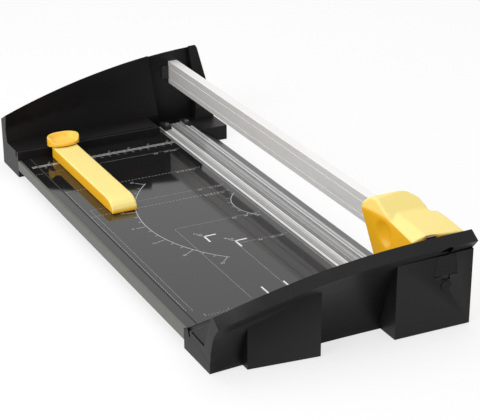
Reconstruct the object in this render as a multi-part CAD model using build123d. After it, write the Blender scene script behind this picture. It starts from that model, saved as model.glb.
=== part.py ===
from build123d import *
import math
import os

# Rotary paper trimmer, A3 class. Millimetres, +Z up, +Y from the near end to the far end.
# The cut runs along Y. The origin is under the middle of the whole machine, on the table.

# ---- overall ----
WIDTH = 274.8            # across the far cap, the widest piece
BOARD_SPAN = 466.5       # clear board length between the two caps
CAP_DEPTH = 55.4         # depth of a cap's foot at its left end
BOARD_TOP = 22.0         # height of the board above the table
FOOT_PROUD = 1.0         # rubber feet below the caps
WALL = 2.5               # moulded walls of the caps
LINER_WALL = 1.2         # thin wall of the near pocket's liner
POST_THICK = 1.5         # near rail bracket's post
PLATE_THICK = 3.0        # base plates under the caps
BOSS_RADIUS = 4.5
SCREW_RADIUS = 1.5       # M3 screws throughout
PAN_HEAD = (2.6, 1.6)    # radius and height of the inner screws' heads
FOOT_HEAD = (2.9, 1.5)   # the same for the screws up through the feet
HEAD_SEAT = 1.7          # depth of a screw head's counterbore in a base plate
FIT = 0.05               # radial clearance of pins and shafts in their bores
GAP = 0.3                # clearance between pieces that move past each other
SEAM = 0.1               # joint line between two fixed mouldings

HALF_W = WIDTH / 2
CAP_BOTTOM = FOOT_PROUD
HALF_SPAN = BOARD_SPAN / 2
FOOT_LINE = HALF_SPAN + CAP_DEPTH
CUT_X = HALF_W - 42.4    # plane of the cut

# ---- board ----
BOARD_THICK = 1.2
BOARD_LIP = 9.0          # turned-down ends of the board
BOARD_SCREWS = 4
BOARD_SCREW_INSET = (19.4, 12.0)     # outer screws from the board's left edge and from the bed
BOARD_SCREW_DROP = 5.5
BED_LEFT = CUT_X - 43.0  # the board meets the cutting bed here
STRIP_WIDTH = 3.0        # grey strip on the board's left edge
STRIP_HEIGHT = 12.0
TRAY_DEPTH = 9.0         # ribbed tray under the board
TRAY_WALL = 2.0
TRAY_INSET = 14.0        # tray's left side stands in from the strip
TRAY_RIBS = 5
TRAY_ROWS = 9
CHANNEL_ROWS = (1, 4, 7)  # tray ribs that carry a steel channel
CHANNEL_WIDTH = 22.0
CHANNEL_HEIGHT = 8.0
CHANNEL_THICK = 1.5

# ---- cutting bed, counter blade and apron ----
COUNTER_THICK = 2.0
COUNTER_HEIGHT = 12.0
BED_HEIGHT = 14.0
BED_WALL = 2.5
BED_TAIL = 26.0          # how far the bed runs into each cap
GROOVE_WIDTH = 0.9
GROOVE_DEPTH = 0.6
GROOVE_COUNT = 8
COUNTER_SCREWS = 7
COUNTER_SCREW_Z = 15.0
COUNTER_SINK = 1.2
APRON_RUN = 30.0         # how far the apron reaches out on the table
APRON_DROP = 2.6         # top of the apron below the board
APRON_WALL = 1.6

# ---- near cap: share of the half width, crest beyond the foot line, crest height, foot line offset ----
NEAR_STATIONS = (
    (-1.0, 7.7, 62.8, 0.0),
    (-0.62, 12.4, 77.0, -2.5),
    (-0.18, 16.4, 89.5, -4.5),
    (0.29, 18.9, 96.6, -4.5),
    (1.0, 19.1, 98.4, -2.5),
)
NEAR_RIGHT = HALF_W - 7.9        # right end of the near cap
FLANGE_OUT = 11.5        # depth of the sloped band
FLANGE_SLOPE = 0.64
COVE_IN = 9.0            # undercut below the band
COVE_DROP = 11.0
CENTRE_BLOCK = ((34.4 - HALF_W, 8.1), (106.4 - HALF_W, 16.8))   # x and reach past the foot line, left and right
RIGHT_BLOCK = ((CUT_X - 48.5, 21.6), (NEAR_RIGHT, 24.0))
CENTRE_BLOCK_TOPS = (54.0, 70.0)
RIGHT_BLOCK_TOPS = (78.5, 80.5)
BLOCK_SETBACK = 9.0      # the blocks reach back into the cap, less so under the ramp
BLOCK_SETBACK_HIGH = 0.65
BLOCK_BENDS = (40.0, 54.0)

# ---- far cap: share, crest beyond the wall's foot, crest height, band reach, foot line offset ----
LEDGE_Z = 32.0
LEDGE_DEPTH = 37.5       # from the cap's front to the foot of its wall
FAR_STATIONS = (
    (-1.0, -0.7, 66.9, 0.0),
    (-0.57, 1.5, 85.7, 11.0),
    (0.0, 3.5, 103.6, 21.0),
    (0.6, 5.5, 113.9, 28.0),
    (1.0, 6.5, 115.6, 31.5),
)
COVE_DEPTH_WALL = 3.5    # hollow of the wall's face
FAR_SHOULDER_X = HALF_W - 25.4   # where the wall's right side starts down
FAR_SIDE_X = HALF_W - 10.4       # the same side lower down
FAR_SIDE_Z = 72.0
FAR_ROUND = 9.0
FAR_BLOCK_TOP = 19.4
SLOT_SETBACK = 4.2       # stop slot behind the cap's front
SLOT_WIDTH = 3.6
SLOT_DEPTH = 7.0
SLOT_RIGHT = BED_LEFT - 12.0
POCKET_DEPTH = 6.5       # recess for the head in the far wall
POCKET_LOW = (CUT_X - 33.0, CUT_X + 17.5)        # its left and right sides at the floor
POCKET_HIGH = (CUT_X - 46.7, CUT_X + 10.0)       # and above the wall
POCKET_TOP = 130.0
POCKET_BEND = 60.0

# ---- guide rail ----
RAIL_LEFT = CUT_X - 14.2
RAIL_WIDTH = 11.6
RAIL_BOTTOM = 69.3
RAIL_HEIGHT = 28.4
RAIL_WALL = 2.2
RAIL_GROOVE_Z = 21.0     # side groove above the rail's underside
RAIL_GROOVE = 1.6
RAIL_LEDGE_Z = 6.6
RAIL_LEDGE = 1.2
RAIL_SCREW_STEP = (4.0, 12.0)    # rail screws from each end of the rail
PLUG_DEPTH = 16.0
PLUG_DROP = 2.2          # plug's top below the rail's top wall
BRACKET_LEFT = 11.0      # from the rail's middle to the post's sides
BRACKET_RIGHT = 6.5
BRACKET_SCREWS = (-7.0, 3.0)
BRACKET_TOE = 16.0
BRACKET_SHEET = 3.0
BUFFER = (RAIL_LEFT - 9.0, RAIL_LEFT - 1.0, 76.0, 92.0)     # x and z limits of the rubber pads

# ---- head: shares are parts of its length, counted from its near end ----
HEAD_LENGTH = 72.0
HEAD_NEAR_GAP = 2.0      # between the parked head and the near wall
HEAD_WALL = 2.2
HEAD_BOTTOM = 32.0
HEAD_TOP = 118.8
FLANK_X = CUT_X - 29.0   # upright near part of the left side
FLANK_TURN = 0.51        # share where the left side starts to flare
FLARE_FOOT = CUT_X - 20.5        # far left corner at the head's bottom
FLARE_LEAN = 0.296       # how far it leans out with height
FLANK_RIGHT = ((CUT_X + 9.5, 1.0), (CUT_X + 15.0, 0.83), (CUT_X + 19.0, 0.69), (CUT_X + 19.0, 0.0))
SLAB_TOPS = (            # planes over the near part, each through three corners: x, share, z
    ((FLANK_X, 0.0, 95.8), (FLANK_X, FLANK_TURN, 101.5), (CUT_X - 15.0, 0.0, 100.0)),
    ((CUT_X - 13.0, 0.0, 100.2), (CUT_X - 13.0, 0.58, 105.4), (CUT_X + 29.5, 0.112, 96.9)),
)
HUMP_TOPS = (            # planes over the far part: near slope, left shoulder, far bevel, right slopes, top
    ((FLANK_X, FLANK_TURN, 101.5), (CUT_X + 21.6, 0.674, 103.2), (CUT_X - 7.0, 0.882, 118.0)),
    ((CUT_X - 42.7, 1.0, 107.0), (FLANK_X, FLANK_TURN, 101.5), (CUT_X - 39.5, 1.0, 115.5)),
    ((CUT_X - 35.0, 0.92, HEAD_TOP), (CUT_X - 5.0, 0.92, HEAD_TOP), (CUT_X - 35.0, 1.0, 113.5)),
    ((CUT_X - 2.0, 0.0, HEAD_TOP), (CUT_X - 2.0, 1.0, HEAD_TOP), (CUT_X + 17.0, 0.0, 110.5)),
    ((CUT_X + 17.0, 0.0, 110.5), (CUT_X + 17.0, 1.0, 110.5), (CUT_X + 24.0, 0.0, 98.0)),
    ((CUT_X, 0.0, HEAD_TOP), (CUT_X, 1.0, HEAD_TOP), (CUT_X + 9.0, 0.0, HEAD_TOP)),
)
SKIRT_FRONT = ((CUT_X + 2.5, 25.0), (CUT_X + 2.5, 101.0), (CUT_X + 24.5, 101.0), (CUT_X + 28.0, 99.5),
               (CUT_X + 29.0, 96.0), (CUT_X + 29.0, 58.0), (CUT_X + 26.5, 25.0))
SKIRT_SIDE = ((0.0, 25.0), (0.0, 95.0), (0.055, 101.0), (0.61, 101.0), (0.72, 93.0), (0.75, 70.0), (0.75, 40.0),
              (0.69, 25.0))
CARRIAGE_SPAN = (0.5, 0.934)     # shares where the carriage starts and ends
BLADE_SHARE = 0.559      # share of the blade's axis
CARRIAGE_SIDE = 4.5      # carriage's wall left of the rail
WEB_SPAN = (0.61, 0.92)
SHOE = 1.4
SHOE_LENGTH = 8.0
DIMPLE_AT = (CUT_X - 55.0, 0.6, 84.0)     # shallow finger dimple in the left side
DIMPLE_SIZE = (27.5, 22.0, 30.0)
BLADE_RADIUS = 22.5
BLADE_THICK = 0.8
BLADE_BITE = 1.4         # blade's reach below the bed's top
BLADE_GAP = 0.1          # between blade and counter blade
AXLE_RADIUS = 3.0
HUB_RADIUS = 8.0
HUB_FLANGE = 3.0
BLADE_SPRING = 5.5       # room for the blade's spring
ROLLER_X = CUT_X - 18.0
ROLLER_RADIUS = 6.0
ROLLER_WIDTH = 5.0
ROLLER_PIN = 1.5
FORK_HALF = 5.0

# ---- clamp ----
CLAMP_LEFT = CUT_X - 41.0
CLAMP_WIDTH = 37.0
CLAMP_THICK = 2.6
CLAMP_LIFT = 1.4         # its height above the bed when it is up
CLAMP_TAIL = 20.0
CLAMP_RIB = 1.8
PIN_RADIUS = 1.5
PIN_INSET = 9.0
PIN_SPRING = 2.45        # mean radius of a lift spring
CARRIER_HEIGHT = 4.0
CARRIER_LEFT = (CLAMP_LEFT + 1.0, CLAMP_LEFT + 8.8)
CARRIER_RIGHT = (ROLLER_X + FORK_HALF + 0.4, CLAMP_LEFT + 36.0)     # clear of the roller's fork
SPRING_BORE = 3.8

# ---- paper stop ----
STOP_LEFT = 39.8 - HALF_W
STOP_WIDTH = 30.0
STOP_HEIGHT = 14.0
STOP_LENGTH = 187.0
STOP_SETBACK = 9.0       # the bar's far face before the far cap
STOP_NOSE = 18.0         # run of the rounded nose
NOSE_STEPS = (18, 36, 54, 72)    # degrees round the nose where its flats meet
STOP_WALL = 2.2
THUMB_WIDTH = 44.0
THUMB_TOP = 47.5
THUMB_NEAR = 9.0         # lever's near edge before the bar's far face
THUMB_FAR = 17.4         # lever's far edge beyond it
LEVER_PIN_RADIUS = 1.25
LEVER_PIN_RISE = 2.6     # pin above the bar's top
EAR_INSET = 5.0
EAR_HALF = 1.2
STOP_FLOAT = 0.4         # the bar's height above the board

# ---- door and catch, on the near cap's right block ----
DOOR_X = CUT_X + 4.8
DOOR_LOW = 12.8          # half widths at its bottom and top
DOOR_HIGH = 9.8
DOOR_BOTTOM = 58.0
DOOR_TOP = 79.0
DOOR_THICK = 2.2
DOOR_PIN_RADIUS = 0.6
DOOR_PIN_HALF = 14.6
CATCH_Z = 47.0
CATCH_RADIUS = 5.0
CATCH_FLANGE = 6.2
CATCH_PROUD = 0.6
NOTCH = (CUT_X + 3.0, 84.5, 6.5)        # finger notch under the band: x, z and radius
DOOR_SLOT = (53.0, 10.0, 1.6)    # recess below the door: bottom, width and depth

# ---- feet ----
FOOT_RADIUS = 9.0
FOOT_INSET = (25.4, 29.0)        # outer feet from the sides, and all feet from the board


# ================= helpers =================
def block(x0, x1, y0, y1, z0, z1):
    """A box from its six limits."""
    return Pos((x0 + x1) / 2, (y0 + y1) / 2, (z0 + z1) / 2) * Box(x1 - x0, y1 - y0, z1 - z0)


def rod(x, y, z, radius, length, axis="Z"):
    """A cylinder about the point, along one axis."""
    turn = {"Z": (0, 0, 0), "X": (0, 90, 0), "Y": (90, 0, 0)}[axis]
    return Pos(x, y, z) * Rot(*turn) * Cylinder(radius, length)


def prism_y(points, y0, y1):
    """An outline in XZ, carried from y0 to y1."""
    face = make_face(Polyline(*[(x, y0, z) for x, z in points], close=True))
    return extrude(face, amount=y1 - y0, dir=(0, 1, 0))


def prism_z(points, z0, z1):
    """An outline in XY, carried from z0 to z1."""
    face = make_face(Polyline(*[(x, y, z0) for x, y in points], close=True))
    return extrude(face, amount=z1 - z0, dir=(0, 0, 1))


def prism_x(points, x0, x1):
    """An outline in YZ, carried from x0 to x1."""
    face = make_face(Polyline(*[(x0, y, z) for y, z in points], close=True))
    return extrude(face, amount=x1 - x0, dir=(1, 0, 0))


def post(x, y, z0, z1, radius):
    """An upright cylinder from z0 to z1."""
    return rod(x, y, (z0 + z1) / 2, radius, z1 - z0)


def bar_x(x0, x1, y, z, radius):
    """A cylinder along X from x0 to x1."""
    return rod((x0 + x1) / 2, y, z, radius, x1 - x0, "X")


def spring(x, y, z, radius, wire, room, turns, axis="Z"):
    """A coil spring between two faces a given room apart; it stands on the point."""
    turn = {"Z": (0, 0, 0), "X": (0, 90, 0)}[axis]
    height = room - wire - 2 * 0.02
    path = Helix(pitch=height / turns, height=height, radius=radius)
    start = Plane(origin=path @ 0, z_dir=path % 0)
    coil = sweep(start * Circle(wire / 2), path=path)
    return Pos(x, y, z) * Rot(*turn) * Pos(0, 0, (room - height) / 2) * coil


def screw(x, y, z, radius, length, head_size, axis="Z"):
    """A pan-head screw: its head above the point, its shank below."""
    head_radius, head_height = head_size
    turn = {"Z": (0, 0, 0), "-Z": (180, 0, 0), "X": (0, 90, 0), "-X": (0, -90, 0),
            "Y": (-90, 0, 0), "-Y": (90, 0, 0)}[axis]
    shank = Pos(0, 0, -length / 2) * Cylinder(radius, length)
    head = Pos(0, 0, head_height / 2) * Cylinder(head_radius, head_height)
    head = fillet(head.edges().group_by(Axis.Z)[-1], head_height * 0.45)
    cross = Pos(0, 0, head_height) * (Box(head_radius, 0.9, head_height) + Box(0.9, head_radius, head_height))
    return Pos(x, y, z) * Rot(*turn) * (shank + head - cross)


def spread(count, low, high):
    """Evenly spaced places from low to high, both included."""
    return [low + (high - low) * index / (count - 1) for index in range(count)]


NODES = {}


def node(name, *solids):
    """Keep the solids of one named node."""
    NODES[name] = [piece for shape in solids for piece in shape.solids()]


# ================= end caps =================
def cap_section(x, side, points, belly):
    """One YZ section of a cap: straight runs, then a curved outer face down to the foot."""
    spots = [(x, side * v, z) for v, z in points]
    runs = Polyline(*spots)
    curve = ThreePointArc(spots[-1], (x, side * belly[0], belly[1]), spots[0])
    return make_face(runs + curve)


def near_points(station, inset, open_bottom):
    """Section of the near cap, or of its hollow when inset is a wall."""
    _, crest, height, foot = station
    bottom = CAP_BOTTOM - open_bottom
    crest_v = FOOT_LINE + crest
    band_v = crest_v + FLANGE_OUT
    band_z = height - FLANGE_SLOPE * FLANGE_OUT
    points = [
        (FOOT_LINE + foot - inset, bottom),
        (HALF_SPAN + inset, bottom),
        (HALF_SPAN + inset, BOARD_TOP - 1.0 - inset),
        (crest_v + inset * 0.2, height - inset * 1.45),
        (band_v - inset * 1.7, band_z - inset * 0.25),
        (band_v - COVE_IN - inset * 0.8, band_z - COVE_DROP),
    ]
    top_v, top_z = points[-1]
    belly = (points[0][0] + (top_v - points[0][0]) * 0.28, bottom + (top_z - bottom) * 0.52)
    return points, belly


def far_points(station, inset, open_bottom):
    """Section of the far cap, or of its hollow when inset is a wall."""
    _, crest, height, foot = station
    bottom = CAP_BOTTOM - open_bottom
    wall_v = HALF_SPAN + LEDGE_DEPTH
    crest_v = wall_v + crest
    band_v = FOOT_LINE + foot
    band_z = height - 0.54 * (band_v - crest_v)
    points = [
        (band_v - 0.5 - inset, bottom),
        (HALF_SPAN + inset, bottom),
        (HALF_SPAN + inset, LEDGE_Z - inset),
        (wall_v + inset, LEDGE_Z - inset),
        (wall_v + COVE_DEPTH_WALL + inset, LEDGE_Z + (height - LEDGE_Z) * 0.45),
        (crest_v + inset * 1.1, height - inset * 1.3),
        (band_v - inset, band_z - inset * 0.2),
    ]
    belly = (band_v - 0.6 - inset, (band_z + bottom) / 2)
    return points, belly


def cap_loft(stations, side, section_of, inset=0.0, open_bottom=0.0):
    """The cap's solid, lofted through its stations."""
    sections = []
    for station in stations:
        points, belly = section_of(station, inset, open_bottom)
        sections.append(cap_section(station[0] * HALF_W, side, points, belly))
    return loft(sections)


NEAR_WALL_Y = -(FOOT_LINE + NEAR_STATIONS[-1][1] - 2.0)      # inner face behind the parked head
RAIL_X = RAIL_LEFT + RAIL_WIDTH / 2
FAR_WALL_Y = HALF_SPAN + LEDGE_DEPTH + FAR_STATIONS[-2][1] + POCKET_DEPTH
POCKET_LEFT = CUT_X - 46.0
FAR_PART_Y = FOOT_LINE - WALL - 0.15                          # joint between far wall and far cover
BED_END = HALF_SPAN + BED_TAIL
BOARD_SCREW_Z = BOARD_TOP - BOARD_SCREW_DROP
BOARD_SCREW_PLACES = spread(BOARD_SCREWS, BOARD_SCREW_INSET[0] - HALF_W, BED_LEFT - BOARD_SCREW_INSET[1])
BED_RIGHT = CUT_X - COUNTER_THICK
PLATE_TOP = CAP_BOTTOM + PLATE_THICK
SEAT_Z = CAP_BOTTOM + HEAD_SEAT
FLOOR_Z = FAR_BLOCK_TOP                                       # floor of the recesses beside the bed
HEAD_NEAR_Y = NEAR_WALL_Y + HEAD_NEAR_GAP
HEAD_FAR_Y = HEAD_NEAR_Y + HEAD_LENGTH
RAIL_NEAR_Y = NEAR_WALL_Y + SEAM
RAIL_FAR_Y = FAR_WALL_Y - SEAM
RAIL_RIGHT = RAIL_LEFT + RAIL_WIDTH
RAIL_TOP = RAIL_BOTTOM + RAIL_HEIGHT
BED_BOTTOM = BOARD_TOP - BED_HEIGHT
BED_FLOOR = BED_BOTTOM + BED_WALL
NEAR_BOSSES = ((22.4 - HALF_W, 7.65 - FOOT_LINE), (127.4 - HALF_W, 10.65 - FOOT_LINE))    # in the near cover
LINER_BOSSES = ((CUT_X - 33.0, 16.65 - FOOT_LINE), (CUT_X + 17.0, 26.65 - FOOT_LINE))
WALL_BOSSES = tuple((x, FOOT_LINE - 26.65) for x in (22.4 - HALF_W, 107.4 - HALF_W, CUT_X + 17.0))
COVER_BOSSES = ((CUT_X - 75.0, FOOT_LINE + 16.35), (CUT_X + 17.0, FOOT_LINE + 22.85))     # in the far cover
NEAR_BOSS_TOP = 30.0
COVER_BOSS_TOP = 20.0
BED_SCREWS = tuple((CUT_X - 22.5, HALF_SPAN + step) for step in (8.75, 18.75))


def plate_bores(plate, places):
    """The plate with a counterbored hole at each place."""
    for x, y in places:
        plate -= post(x, y, CAP_BOTTOM - 1, SEAT_Z, 3.2) + post(x, y, CAP_BOTTOM, 40, SCREW_RADIUS + FIT)
    return plate


def bosses(places, cavity, top):
    """Screw bosses that stand on the base plate, inside the cap's hollow."""
    shape = Part()
    for x, y in places:
        shape += post(x, y, PLATE_TOP, top, BOSS_RADIUS) & cavity
    return shape


def boss_holes(places):
    """Their screw holes."""
    shape = Part()
    for x, y in places:
        shape += post(x, y, CAP_BOTTOM, 14.0, SCREW_RADIUS)
    return shape


def near_blocks(inset, open_bottom):
    """The two proud foot blocks on the near cap's outer face, or their hollows."""
    low = CAP_BOTTOM - open_bottom
    inner = -(FOOT_LINE - BLOCK_SETBACK)
    inner_high = -(FOOT_LINE - BLOCK_SETBACK_HIGH)
    clip = prism_x(((inner, low), (inner, BLOCK_BENDS[0]), (inner_high, BLOCK_BENDS[1]), (inner_high, 100.0),
                    (-400.0, 100.0), (-400.0, low)), -HALF_W, HALF_W)
    shapes = []
    for (left, right), tops in ((CENTRE_BLOCK, CENTRE_BLOCK_TOPS), (RIGHT_BLOCK, RIGHT_BLOCK_TOPS)):
        x0 = left[0] + inset
        x1 = right[0] - inset
        plan = prism_z(((x0, inner), (x0, -(FOOT_LINE + left[1] - inset)), (x1, -(FOOT_LINE + right[1] - inset)),
                        (x1, inner)), low, 100.0)
        front = prism_y(((x0, low), (x0, tops[0] - inset), (x1, tops[1] - inset), (x1, low)), -400.0, 0.0)
        shapes.append(plan & front & clip)
    return shapes


def near_cap():
    """Cover, ramp panel, pocket liner and base plate of the near cap."""
    outer = cap_loft(NEAR_STATIONS, -1, near_points)
    cavity = cap_loft(NEAR_STATIONS, -1, near_points, WALL, 2.0)
    for shape in near_blocks(0.0, 0.0):
        outer += shape
    for shape in near_blocks(WALL, 2.0):
        cavity += shape
    outer &= block(-HALF_W, NEAR_RIGHT, -2 * HALF_W - 100, 0, -10, 200)
    cavity &= block(-HALF_W + WALL, NEAR_RIGHT - WALL, -2 * HALF_W - 100, 0, -10, 200)
    skin = outer - cavity
    ramp = prism_x(((-(HALF_SPAN + 3.2), 12), (-(HALF_SPAN + 3.2), 180), (-(FOOT_LINE - 3), 180),
                    (-(FOOT_LINE - 3), 48), (-(HALF_SPAN + 12), 12)),
                   -HALF_W + WALL + 1, POCKET_LEFT - WALL - 1)
    pocket = block(POCKET_LEFT, HALF_W + 5, NEAR_WALL_Y, -HALF_SPAN + 1, FLOOR_Z, 200)
    shell = block(POCKET_LEFT - WALL, NEAR_RIGHT, NEAR_WALL_Y - LINER_WALL, -HALF_SPAN, FLOOR_Z - WALL, 200)
    bed_gate = block(BED_LEFT - GAP, CUT_X + GAP, -BED_END - GAP, -HALF_SPAN + 1,
                     BOARD_TOP - BED_HEIGHT - GAP, BOARD_TOP + 1)
    socket = rail_socket(NEAR_WALL_Y - WALL - 1, NEAR_WALL_Y + 1)
    back = NEAR_WALL_Y - LINER_WALL
    post_room = block(RAIL_X - BRACKET_LEFT - GAP, RAIL_X + BRACKET_RIGHT + GAP, back - POST_THICK - GAP, back,
                      PLATE_TOP, RAIL_TOP - RAIL_WALL - 2.0)
    holes = boss_holes(NEAR_BOSSES + LINER_BOSSES) + board_screw_holes(-1)
    panel = skin & ramp
    cover = skin - ramp - pocket - bed_gate - socket - post_room - door_cut()
    cover = cover + bosses(NEAR_BOSSES, cavity, NEAR_BOSS_TOP) - ramp - holes
    liner = ((shell - pocket) & cavity) + bosses(LINER_BOSSES, cavity, FLOOR_Z - 1)
    liner = liner - bed_gate - socket - door_cut() - holes
    plate = cavity & block(-HALF_W, HALF_W, -400, 0, CAP_BOTTOM, PLATE_TOP)
    return cover, panel, liner, base_plate(plate, -1, NEAR_BOSSES + LINER_BOSSES)


def base_plate(plate, side, places):
    """A base plate with its bed pad, its counterbores and the bracket's holes."""
    low, high = sorted((side * (HALF_SPAN + WALL + 0.5), side * (BED_END - 2)))
    plate += block(BED_LEFT + 4, BED_RIGHT - 4, low, high, PLATE_TOP - 1, BED_BOTTOM)
    bed_places = tuple((x, side * y) for x, y in BED_SCREWS)
    plate = plate_bores(plate, places + bed_places)
    for x, y in bracket_screw_places(side):
        plate -= post(x, y, CAP_BOTTOM - 1, PLATE_TOP + 1, SCREW_RADIUS)
    return plate


def far_side(inset):
    """Front view of the far cap's right side: slanted, with a rounded shoulder."""
    points = (
        (-HALF_W + inset, -10), (HALF_W - inset, -10), (HALF_W - inset, 36.0), (FAR_SIDE_X + 1.0 - inset, FAR_SIDE_Z),
        (FAR_SHOULDER_X + 4.5 - inset, FAR_STATIONS[-1][2] + 1.5), (-HALF_W + inset, FAR_STATIONS[-1][2] + 1.5),
    )
    face = make_face(Polyline(*[(x, 0, z) for x, z in points], close=True))
    shoulder = [v for v in face.vertices() if v.X > FAR_SHOULDER_X - 10 and v.Z > FAR_SIDE_Z + 5]
    face = fillet(shoulder, FAR_ROUND)
    return extrude(face, amount=400, dir=(0, 1, 0))


def pocket_outline(margin):
    """Front view of the recess for the head in the far wall."""
    return (
        (POCKET_LOW[0] - margin, FLOOR_Z - margin), (POCKET_HIGH[0] - margin, POCKET_TOP),
        (POCKET_HIGH[1] + margin, POCKET_TOP), (POCKET_LOW[1] + margin, POCKET_BEND),
        (POCKET_LOW[1] + margin, FLOOR_Z - margin),
    )


def far_cap():
    """Wall with its ledge and slot, outer cover and base plate of the far cap."""
    outer = cap_loft(FAR_STATIONS, 1, far_points) & far_side(0.0)
    cavity = cap_loft(FAR_STATIONS, 1, far_points, WALL, 2.0) & far_side(WALL)
    skin = outer - cavity
    wall_y = HALF_SPAN + LEDGE_DEPTH
    step_left = BED_LEFT - 6
    step = block(step_left, HALF_W + 5, HALF_SPAN - 1, wall_y + 0.5, FLOOR_Z, LEDGE_Z + 1)
    recess = prism_y(pocket_outline(0.0), wall_y - 8, FAR_WALL_Y)
    around = prism_y(pocket_outline(WALL), wall_y, FAR_WALL_Y + WALL)
    floor = block(step_left - WALL, HALF_W, HALF_SPAN, wall_y + 4, FLOOR_Z - WALL, LEDGE_Z)
    bed_gate = block(BED_LEFT - GAP, CUT_X + GAP, HALF_SPAN - 1, BED_END + GAP, BED_BOTTOM - GAP, BOARD_TOP + 1)
    slot_y = HALF_SPAN + SLOT_SETBACK
    slot = block(-HALF_W - 5, SLOT_RIGHT, slot_y, slot_y + SLOT_WIDTH, LEDGE_Z - SLOT_DEPTH, LEDGE_Z + 5)
    trough = block(-HALF_W + 1, SLOT_RIGHT + 2, HALF_SPAN + 1, slot_y + SLOT_WIDTH + 2,
                   LEDGE_Z - SLOT_DEPTH - 2, LEDGE_Z - 1)
    socket = rail_socket(FAR_WALL_Y - 1, FAR_WALL_Y + WALL + 1)
    places = WALL_BOSSES + COVER_BOSSES
    front = block(-HALF_W - 5, HALF_W + 5, 0, FAR_PART_Y, -10, 200)
    holes = boss_holes(places) + board_screw_holes(1)
    wall = (skin & front) + ((around + floor + trough) & cavity & front) + bosses(WALL_BOSSES, cavity, LEDGE_Z)
    wall = wall - step - recess - bed_gate - slot - socket - holes
    cover = (skin - front) + bosses(COVER_BOSSES, cavity, COVER_BOSS_TOP) - holes
    plate = cavity & block(-HALF_W, HALF_W, 0, 400, CAP_BOTTOM, PLATE_TOP)
    return wall, cover, base_plate(plate, 1, places)


# ================= board, bed and apron =================
UNDERSIDE = BOARD_TOP - BOARD_THICK
TRAY_LEFT = -HALF_W + TRAY_INSET
TRAY_COLUMNS = spread(TRAY_RIBS, TRAY_LEFT, BED_LEFT - 1)
TRAY_HALF = HALF_SPAN - 5.0
TRAY_LINES = spread(TRAY_ROWS, -TRAY_HALF, TRAY_HALF)
TRAY_BOTTOM = UNDERSIDE - TRAY_DEPTH
CHANNEL_SCREWS = [(x, TRAY_LINES[row]) for row in CHANNEL_ROWS for x in (TRAY_COLUMNS[1], TRAY_COLUMNS[3])]


def board_screw_holes(side):
    """Holes in a cap's inner wall for the board's end screws."""
    shape = Part()
    for x in BOARD_SCREW_PLACES:
        shape += rod(x, side * HALF_SPAN, BOARD_SCREW_Z, SCREW_RADIUS, 16.0, "Y")
    return shape


def board_panel():
    """Flat steel sheet with turned-down ends."""
    left = -HALF_W + STRIP_WIDTH
    right = BED_LEFT - SEAM
    top = block(left, right, -HALF_SPAN, HALF_SPAN, UNDERSIDE, BOARD_TOP)
    inner = HALF_SPAN - BOARD_THICK
    low = BOARD_TOP - BOARD_LIP
    panel = top + block(left, right, -HALF_SPAN, -inner, low, BOARD_TOP) + block(
        left, right, inner, HALF_SPAN, low, BOARD_TOP)
    return panel - board_screw_holes(-1) - board_screw_holes(1)


def board_screws():
    """Pan-head screws through the board's ends into the caps."""
    inner = HALF_SPAN - BOARD_THICK
    return [screw(x, side * inner, BOARD_SCREW_Z, SCREW_RADIUS, 5.0, PAN_HEAD, "-Y" if side > 0 else "Y")
            for side in (-1, 1) for x in BOARD_SCREW_PLACES]


def edge_strip():
    """Pale strip over the board's left edge, with a tongue under the board."""
    half = HALF_SPAN - GAP
    left = -HALF_W + STRIP_WIDTH
    web = block(-HALF_W, left, -half, half, BOARD_TOP - STRIP_HEIGHT, BOARD_TOP)
    tongue = block(left - 0.5, -HALF_W + TRAY_INSET, -TRAY_HALF, TRAY_HALF, UNDERSIDE - 1.6, UNDERSIDE)
    return web + tongue


def tray():
    """Ribbed moulding that backs the board."""
    body = block(TRAY_LEFT, BED_LEFT, -TRAY_HALF, TRAY_HALF, TRAY_BOTTOM, UNDERSIDE)
    for x0, x1 in zip(TRAY_COLUMNS, TRAY_COLUMNS[1:]):
        for y0, y1 in zip(TRAY_LINES, TRAY_LINES[1:]):
            body -= block(x0 + TRAY_WALL, x1 - TRAY_WALL, y0 + TRAY_WALL, y1 - TRAY_WALL,
                          TRAY_BOTTOM - 1, UNDERSIDE - TRAY_WALL)
    for x, y in CHANNEL_SCREWS:
        body += post(x, y, TRAY_BOTTOM, UNDERSIDE, BOSS_RADIUS)
    for x, y in CHANNEL_SCREWS:
        body -= post(x, y, TRAY_BOTTOM - 1, TRAY_BOTTOM + 6, SCREW_RADIUS)
    return body


def channels():
    """Steel channels across the tray, open underneath."""
    half = CHANNEL_WIDTH / 2
    bottom = TRAY_BOTTOM - CHANNEL_HEIGHT
    shapes = []
    for row in CHANNEL_ROWS:
        y = TRAY_LINES[row]
        outer = block(TRAY_LEFT + 4, BED_LEFT, y - half, y + half, bottom, TRAY_BOTTOM)
        inner = block(-HALF_W, HALF_W, y - half + CHANNEL_THICK, y + half - CHANNEL_THICK,
                      bottom - 1, TRAY_BOTTOM - CHANNEL_THICK)
        shapes.append(outer - inner)
    for x, y in CHANNEL_SCREWS:
        shapes = [shape - post(x, y, bottom, TRAY_BOTTOM + 1, SCREW_RADIUS + FIT) for shape in shapes]
    return shapes


def channel_screws():
    """Screws from below through the channels into the tray's bosses."""
    return [screw(x, y, TRAY_BOTTOM - CHANNEL_THICK, SCREW_RADIUS, 6.0, PAN_HEAD, "-Z") for x, y in CHANNEL_SCREWS]


def counter_screw_places():
    """Screws along the counter blade."""
    return spread(COUNTER_SCREWS, -HALF_SPAN + 24, HALF_SPAN - 24)


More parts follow.
